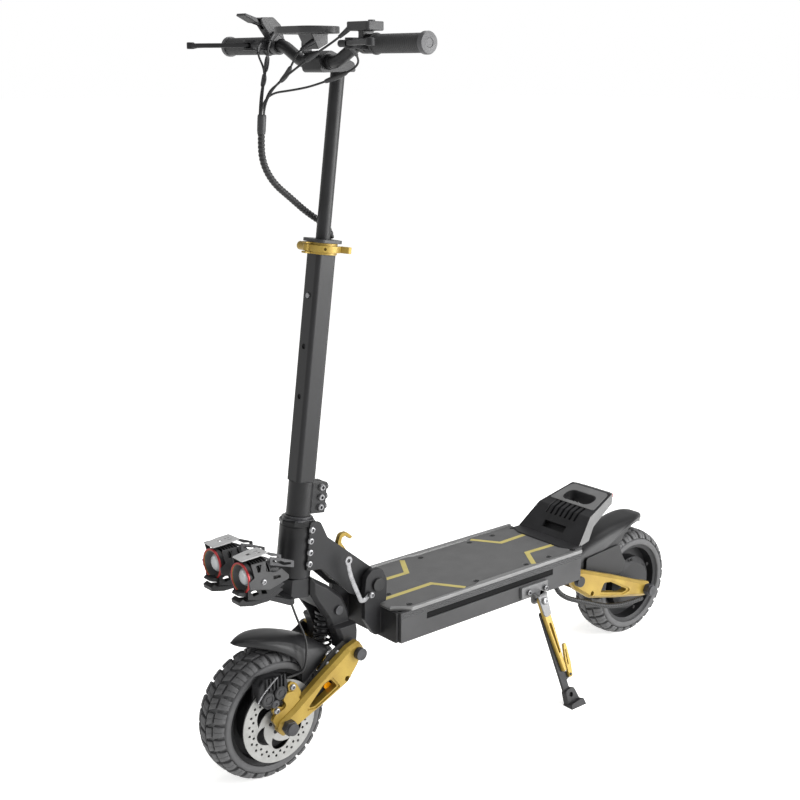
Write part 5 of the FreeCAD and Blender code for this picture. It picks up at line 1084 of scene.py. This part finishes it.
def makeLatch():
    # a superellipse section of half width by half wall carried along the bent line
    steps, sides = 60, 16
    line = smoothLine(latch["line"], steps)
    path = np.c_[line[:, 0], np.full(steps, latch["plane"]), line[:, 1]] * mm
    angle = np.linspace(0, 2 * np.pi, sides, endpoint=False)
    reach = (np.abs(np.cos(angle) / latch["halfWidth"]) ** latch["square"]
             + np.abs(np.sin(angle) / latch["halfWall"]) ** latch["square"]) ** (-1 / latch["square"])
    rings = ringsAlong(path, np.repeat(reach[None], steps, 0) * mm, sides)
    faces = gridFaces(steps, sides, wrapColumns=True, caps=True)
    strip = meshPiece("latchStrip", rings, faces, zincSteel, 30)
    x, z = latch["ring"]
    spot = np.array([x, latch["plane"], z]) * mm
    eye = spun("latchEye", latch["ringProfile"], spot, left, zincSteel, 32, 40, wrap=True)
    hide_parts("latch_lever")
    for piece in (strip, eye):
        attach(piece, "latch")


makeLatch()
print("stage: safety latch")


# calipers
caliper = {  # outlines in (x, z) mm from the middle; plates lie across the wheel at a distance from its plane
    "body": [(35, 22, 5), (20, 37, 5), (-12, 34, 6), (-34, 28, 6), (-42, -4, 7), (-24, -26, 6), (14, -34, 6),
             (37, -12, 6)],
    "bridge": [(35, 22, 4), (20, 37, 4), (-12, 34, 4), (-34, 28, 4), (-38, 14, 2), (-8, 17, 2), (20, 6, 2),
               (36, -4, 2)],
    "scale": 0.88,
    "plates": [("Outer", "body", 63.5, 11, 1.6), ("Inner", "body", 48.5, 8, 1.2),
               ("Bridge", "bridge", 56, 24, 1.6)],
    "lobes": [(14, -6), (-14, -2)], "lobePlane": 68.6,
    "lobe": [(0.3, 0), (13.5, 0), (13.5, 4.5), (11.6, 6.6), (9.4, 6.6), (8.8, 5.2), (5.2, 5.2), (4.6, 6.2),
             (0.3, 6.4)],
    "knobSpot": (0, -19), "knobPlane": 68.0,
    "knob": [(0.3, 0), (8.5, 0), (8.5, 1.5), (7.3, 2.2), (7.3, 5.4), (8.5, 6.2), (7.9, 8.4), (3.6, 9.0),
             (3.2, 7.6), (0.3, 7.6)],
    "ribs": (-24, -16, -8, 0, 8, 16), "ribHalf": 1.6, "ribSpan": (8, 33), "ribPlane": 70.5, "ribDepth": 5,
    "beadLine": [(-5, 76, 34), (12, 80, 26), (30, 79, 10), (39, 75, -6)], "beadPitch": 2.6,
    "beadRadius": 0.7, "beadSwell": 1.0}


def makeCaliper(word, middle, side, body, node):
    x, z = middle
    scale = caliper["scale"]
    pieces = []
    for tag, outline, plane, width, bevel in caliper["plates"]:
        corners = [(x + a * scale, z + b * scale, radius) for a, b, radius in caliper[outline]]
        place = sidePlace(side * plane)
        plate = cutPlate("caliper" + tag + word, [roundedLoop(corners)], width, bevel, place, powderCoat)
        pieces.append((plate, "black_alloy"))
    for i, (a, b) in enumerate(caliper["lobes"]):
        origin = np.array([x + a, side * caliper["lobePlane"], z + b]) * mm
        name = f"caliperLobe{i + 1}{word}"
        lobe = spun(name, caliper["lobe"], origin, (0, side, 0), mouldedPlastic, 36, 30)
        pieces.append((lobe, "black_alloy"))
    a, b = caliper["knobSpot"]
    origin = np.array([x + a, side * caliper["knobPlane"], z + b]) * mm
    knob = spun("caliperKnob" + word, caliper["knob"], origin, (0, side, 0), darkSteel, 12, 20)
    pieces.append((knob, "dark_steel"))
    half, (low, high) = caliper["ribHalf"], caliper["ribSpan"]
    ribs = [roundedLoop([(x + c - half, z + low), (x + c + half, z + low), (x + c + half, z + high),
                         (x + c - half, z + high)]) for c in caliper["ribs"]]
    place = sidePlace(side * caliper["ribPlane"])
    ribPiece = cutPlate("caliperRibs" + word, ribs, caliper["ribDepth"], 0.6, place, powderCoat)
    pieces.append((ribPiece, "black_alloy"))
    # beads along a bowed line: the radius swells once in each pitch
    spots = [(x + a, side * across, z + b) for a, across, b in caliper["beadLine"]]
    path, marks = evenly(smoothLine(spots, 80) * mm, 0.32)
    swell = caliper["beadSwell"] * np.abs(np.sin(np.pi * marks / (caliper["beadPitch"] * mm)))
    beads = tube("caliperBeads" + word, path, caliper["beadRadius"] + swell, zincSteel, 10,
                 about=(1.0, 0.0, 1.0))
    pieces.append((beads, "bright_steel"))
    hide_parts(node)
    for piece, slot in pieces:
        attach(piece, body)


makeCaliper("Front", (540, 195.5), 1, "front_arm", "front_caliper")
makeCaliper("Rear", (-506, 207.5), -1, "rear_arm", "rear_caliper")
print("stage: calipers")

# small plates beside the wheels
# corners with radii, middle across the model, thickness, finish, slot, body; pairs stand on both sides
smallPlates = {
    "guardBracket": ([(374, 250, 4), (362, 238, 4), (392, 206, 8), (446, 166, 8), (468, 172, 6),
                      (440, 200, 8), (406, 234, 6)], 62.4, 3.2, powderCoat, "black_alloy", "front_arm"),
    "armBacking": ([(392, 206, 6), (384, 176, 6), (400, 146, 8), (440, 140, 6), (474, 150, 6), (470, 172, 6),
                    (446, 190, 6)], 61.4, 2.4, powderCoat, "black_alloy", "front_arm"),
    "caliperTab": ([(509, 203, 4), (501, 208, 6), (489, 201, 6), (477, 178, 10), (492, 159, 8), (521, 143, 6),
                    (541, 154, 6), (545, 165, 5), (535, 169, 5), (521, 162, 6), (515, 170, 6), (502, 175, 6),
                    (507, 190, 6)], 68.4, 6.0, goldAnodised, "gold_alloy", "front_arm"),
    "sideReflector": ([(402, 160, 2), (410, 157, 2), (421, 168, 2), (420, 176, 2), (411, 178, 2),
                       (402, 169, 2)], 64.4, 3.6, amberLens, "lamp_strip", "front_arm"),
    "rearGuardSide": ([(-340, 236, 8), (-452, 244, 8), (-466, 214, 10), (-478, 196, 12), (-468, 172, 12),
                       (-400, 170, 10), (-340, 196, 10)], 46.4, 3.0, guardPlastic, "black_plastic",
                       "rear_arm"),
}
platePairs = ("guardBracket", "armBacking", "rearGuardSide")
for name, (corners, y, thickness, material, slot, body) in smallPlates.items():
    sides = (("Left", 1), ("Right", -1)) if name in platePairs else (("", 1),)
    for word, side in sides:
        plate = cutPlate(name + word, [roundedLoop(corners)], thickness, 0.5, sidePlace(side * y), material)
        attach(plate, body)
print("stage: small plates")


# head tube
headTube = {"wall": [(20, 38.5), (32, 38.5), (33, 39.6), (33, 136), (32, 137.4), (32, 140), (20, 140)],
            "cap": [(20, 139.6), (35, 139.6), (35, 145.6), (31, 149.6), (20, 149.6)], "capSides": 8}


def makeHeadTube():
    # a tube turned about the steering axis under an eight sided cap
    foot, axis = np.array(onColumn(0, 0, 0)) * mm, (-math.sin(rake), 0, math.cos(rake))
    shell = spun("headTubeShell", headTube["wall"], foot, axis, blackAnodised, 64, 30, wrap=True)
    cap = spun("headTubeCap", headTube["cap"], foot, axis, blackAnodised, headTube["capSides"], 10, wrap=True)
    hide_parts("head_tube")
    for piece in (shell, cap):
        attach(piece, "neck")


makeHeadTube()
print("stage: head tube")


# kick plate behind the deck
kickPlate = {"origin": (-312, 0, 348), "rise": (92, 31), "lift": 0.5,
             "pad": [(24, -66, 5), (24, 66, 5), (93, 54, 12), (93, -54, 12)], "padThick": 1.8,
             "slot": [(33.4, -42.5, 17), (33.4, 42.5, 17), (72, 42.5, 17), (72, -42.5, 17)],
             "foot": [(-228, 62, 6), (-242, 93, 4), (-272, 93, 4), (-272, -93, 4), (-242, -93, 4),
                      (-228, -62, 6)],
             "footThick": 11, "footHigh": 291.2,
             "lamp": [(-47, 364.6, 2), (47, 364.6, 2), (47, 373.4, 2), (-47, 373.4, 2)], "lampThick": 3.6,
             "lampPlane": -421.7}


def makeKickPlate():
    # the sheet of painted highlight lies on the sloping top: its own x runs up the slope, its y to the right
    run, climb = np.array(kickPlate["rise"]) / math.hypot(*kickPlate["rise"])
    slope = np.eye(4)
    slope[:3, 0], slope[:3, 1], slope[:3, 2] = (-run, 0, climb), (0, -1, 0), (climb, 0, run)
    slope[:3, 3] = np.array(kickPlate["origin"]) * mm + slope[:3, 2] * kickPlate["lift"] * mm
    padLoops = [roundedLoop(kickPlate["pad"]), roundedLoop(kickPlate["slot"], 8)]
    pad = cutPlate("kickPlateHighlightSheet", padLoops, kickPlate["padThick"], 0.4, slope, padGrey)
    foot = cutPlate("kickPlateFoot", [roundedLoop(kickPlate["foot"])], kickPlate["footThick"], 2.5,
                    flatPlace(kickPlate["footHigh"]), powderCoat)
    across = np.eye(4)
    across[:3, 0], across[:3, 1], across[:3, 2] = (0, 1, 0), (0, 0, 1), (1, 0, 0)
    across[0, 3] = kickPlate["lampPlane"] * mm
    tailLamp = cutPlate("tailLampLens", [roundedLoop(kickPlate["lamp"])], kickPlate["lampThick"], 0.6, across,
                        tailLens)
    for piece, slot in ((pad, "black_plastic"), (foot, "black_alloy"), (tailLamp, "lamp_strip")):
        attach(piece, "deck")


makeKickPlate()
print("stage: kick plate")


# cables
barX, barZ = barMiddle
loomRoute = [(470.2, -30, 1229), (474, -30, 1185), (470.2, -31, 1145.3), (447.2, -32, 1110.1),
             (411.5, -33, 1083.7), (377.1, -32, 1056.1), (349.7, -28, 1038.3), (339.5, -10, 1022),
             (342.7, -4, 1008.8)]
leadRoutes = [
    [(392, 118, 1344), (372, 110, 1331), (357, 98, 1314), (366, 75, 1299), (400, 35, 1280), (418, 8, 1272)],
    [(barX + 10, 99, barZ + 28), (barX + 13, 81, barZ + 14), (barX + 64, 32, barZ - 32)],
    [(394, 18, 1352), (424, 16, 1338), (429, 0, 1309), (433, -16, 1288)],
    [(barX + 14, -113, barZ + 20), (barX + 40, -96, barZ + 6), (barX + 62, -72, barZ - 30)],
    [(barX + 46, -115.8, barZ), (barX + 66, -100, barZ - 10), (432, -70, 1300)]]
lead = {"radius": 1.9, "fan": 4.0, "bootLength": 30.0, "bootWide": 5.2, "bootNarrow": 3.2, "plugRadius": 2.6,
        "plugSwell": 2.0, "plugs": [  # mm from each start
            (74, 118), (70, 100), (62, 96), (66, 104), (78, 112)]}
sleeve = {"share": 0.12, "marks": (0, 0.1, 0.8, 1), "radii": (7, 7.8, 7.6, 6.9)}
loomWrap = {"core": 4.9, "swell": 1.5, "power": 0.35, "pitch": 7.0, "sides": 20}
motorWrap = {"core": 4.6, "swell": 1.3, "power": 0.4, "pitch": 6.0, "sides": 16}
armX, armZ = -272.0, 211.0  # rear arm pivot
hoseRoute = [(columnFoot[0] + 18, 22, columnFoot[1] + 1.3), (columnFoot[0] + 14, 36, columnFoot[1] - 34),
             (columnFoot[0] + 2, 50, columnFoot[1] - 72), (frontX - 60, 62, frontZ + 116),
             (frontX - 52, 66, frontZ + 92), (frontX - 38, 62, frontZ + 85), (frontX - 16.4, 59, frontZ + 84)]
motorRoute = [(-210, 70, 227.5), (-212, 72, 202), (-238, 82, 178), (armX - 16, 88, armZ - 52),
              (armX - 58, 90, armZ - 70), (armX - 108, 90, armZ - 88), (rearX + 72, 90, rearZ - 14),
              (rearX + 30, 92, rearZ - 12)]
hoseRadius = 2.2


def wrappedCable(name, path, marks, wrap):
    # spiral wrap: the radius is core + swell x wave ^ power, where the wave runs round the cable once a pitch
    angle = np.linspace(0, 2 * np.pi, wrap["sides"], endpoint=False)
    wave = 0.5 + 0.5 * np.cos(2 * np.pi * marks[:, None] / (wrap["pitch"] * mm) - angle[None])
    rings = ringsAlong(path, (wrap["core"] + wrap["swell"] * wave ** wrap["power"]) * mm, wrap["sides"])
    faces = gridFaces(len(path), wrap["sides"], wrapColumns=True, caps=True)
    piece = meshPiece(name, rings, faces, cableJacket, 60)
    return piece


def makeLoom():
    path, marks = evenly(routeLine(loomRoute, 16), 0.9)
    piece = wrappedCable("spiralWrapLoom", path, marks, loomWrap)
    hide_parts("bar_cables")
    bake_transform(piece)
    near = path[:int(len(path) * sleeve["share"])]
    radius = np.interp(np.linspace(0, 1, len(near)), sleeve["marks"], sleeve["radii"])
    cover = tube("loomSleeve", near, radius, mouldedPlastic, 20)
    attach(cover, "bars")


def makeLeads():
    # each lead fans into the loom's top; a cone covers its start and a swelling plug stands further on
    for i, route in enumerate(leadRoutes):
        turn = math.radians(36 + 72 * i)
        fan = np.array([lead["fan"] * math.cos(turn), lead["fan"] * math.sin(turn), -2])
        end = np.array(loomRoute[0]) + fan
        path, marks = evenly(routeLine(list(route) + [end + (-2, 0, 36), end], 12), 2.5)
        wire = tube(f"controlLead{i + 1}", path, lead["radius"], cableJacket, 12)
        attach(wire, "bars")
        near = path[marks < lead["bootLength"] * mm]
        radius = np.linspace(lead["bootWide"], lead["bootNarrow"], len(near))
        boot = tube(f"leadBoot{i + 1}", near, radius, mouldedPlastic, 14)
        low, high = lead["plugs"][i]
        held = path[(marks > low * mm) & (marks < high * mm)]
        share = np.linspace(0, 1, len(held))
        radius = lead["plugRadius"] + lead["plugSwell"] * np.sin(np.pi * share) ** 0.4
        plug = tube(f"leadPlug{i + 1}", held, radius, mouldedPlastic, 14)
        for piece in (boot, plug):
            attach(piece, "bars")


def makeHoses():
    path, marks = evenly(routeLine(hoseRoute, 12), 2.0)
    hose = tube("frontBrakeLine", path, hoseRadius, cableJacket, 12, about=(1.0, 0.0, 0.0))
    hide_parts("front_brake_hose")
    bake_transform(hose)
    path, marks = evenly(routeLine(motorRoute, 12), 0.9)
    cable = wrappedCable("wrappedMotorCable", path, marks, motorWrap)
    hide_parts("rear_motor_cable")
    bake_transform(cable)


makeLoom()
makeLeads()
makeHoses()
print("stage: cables")
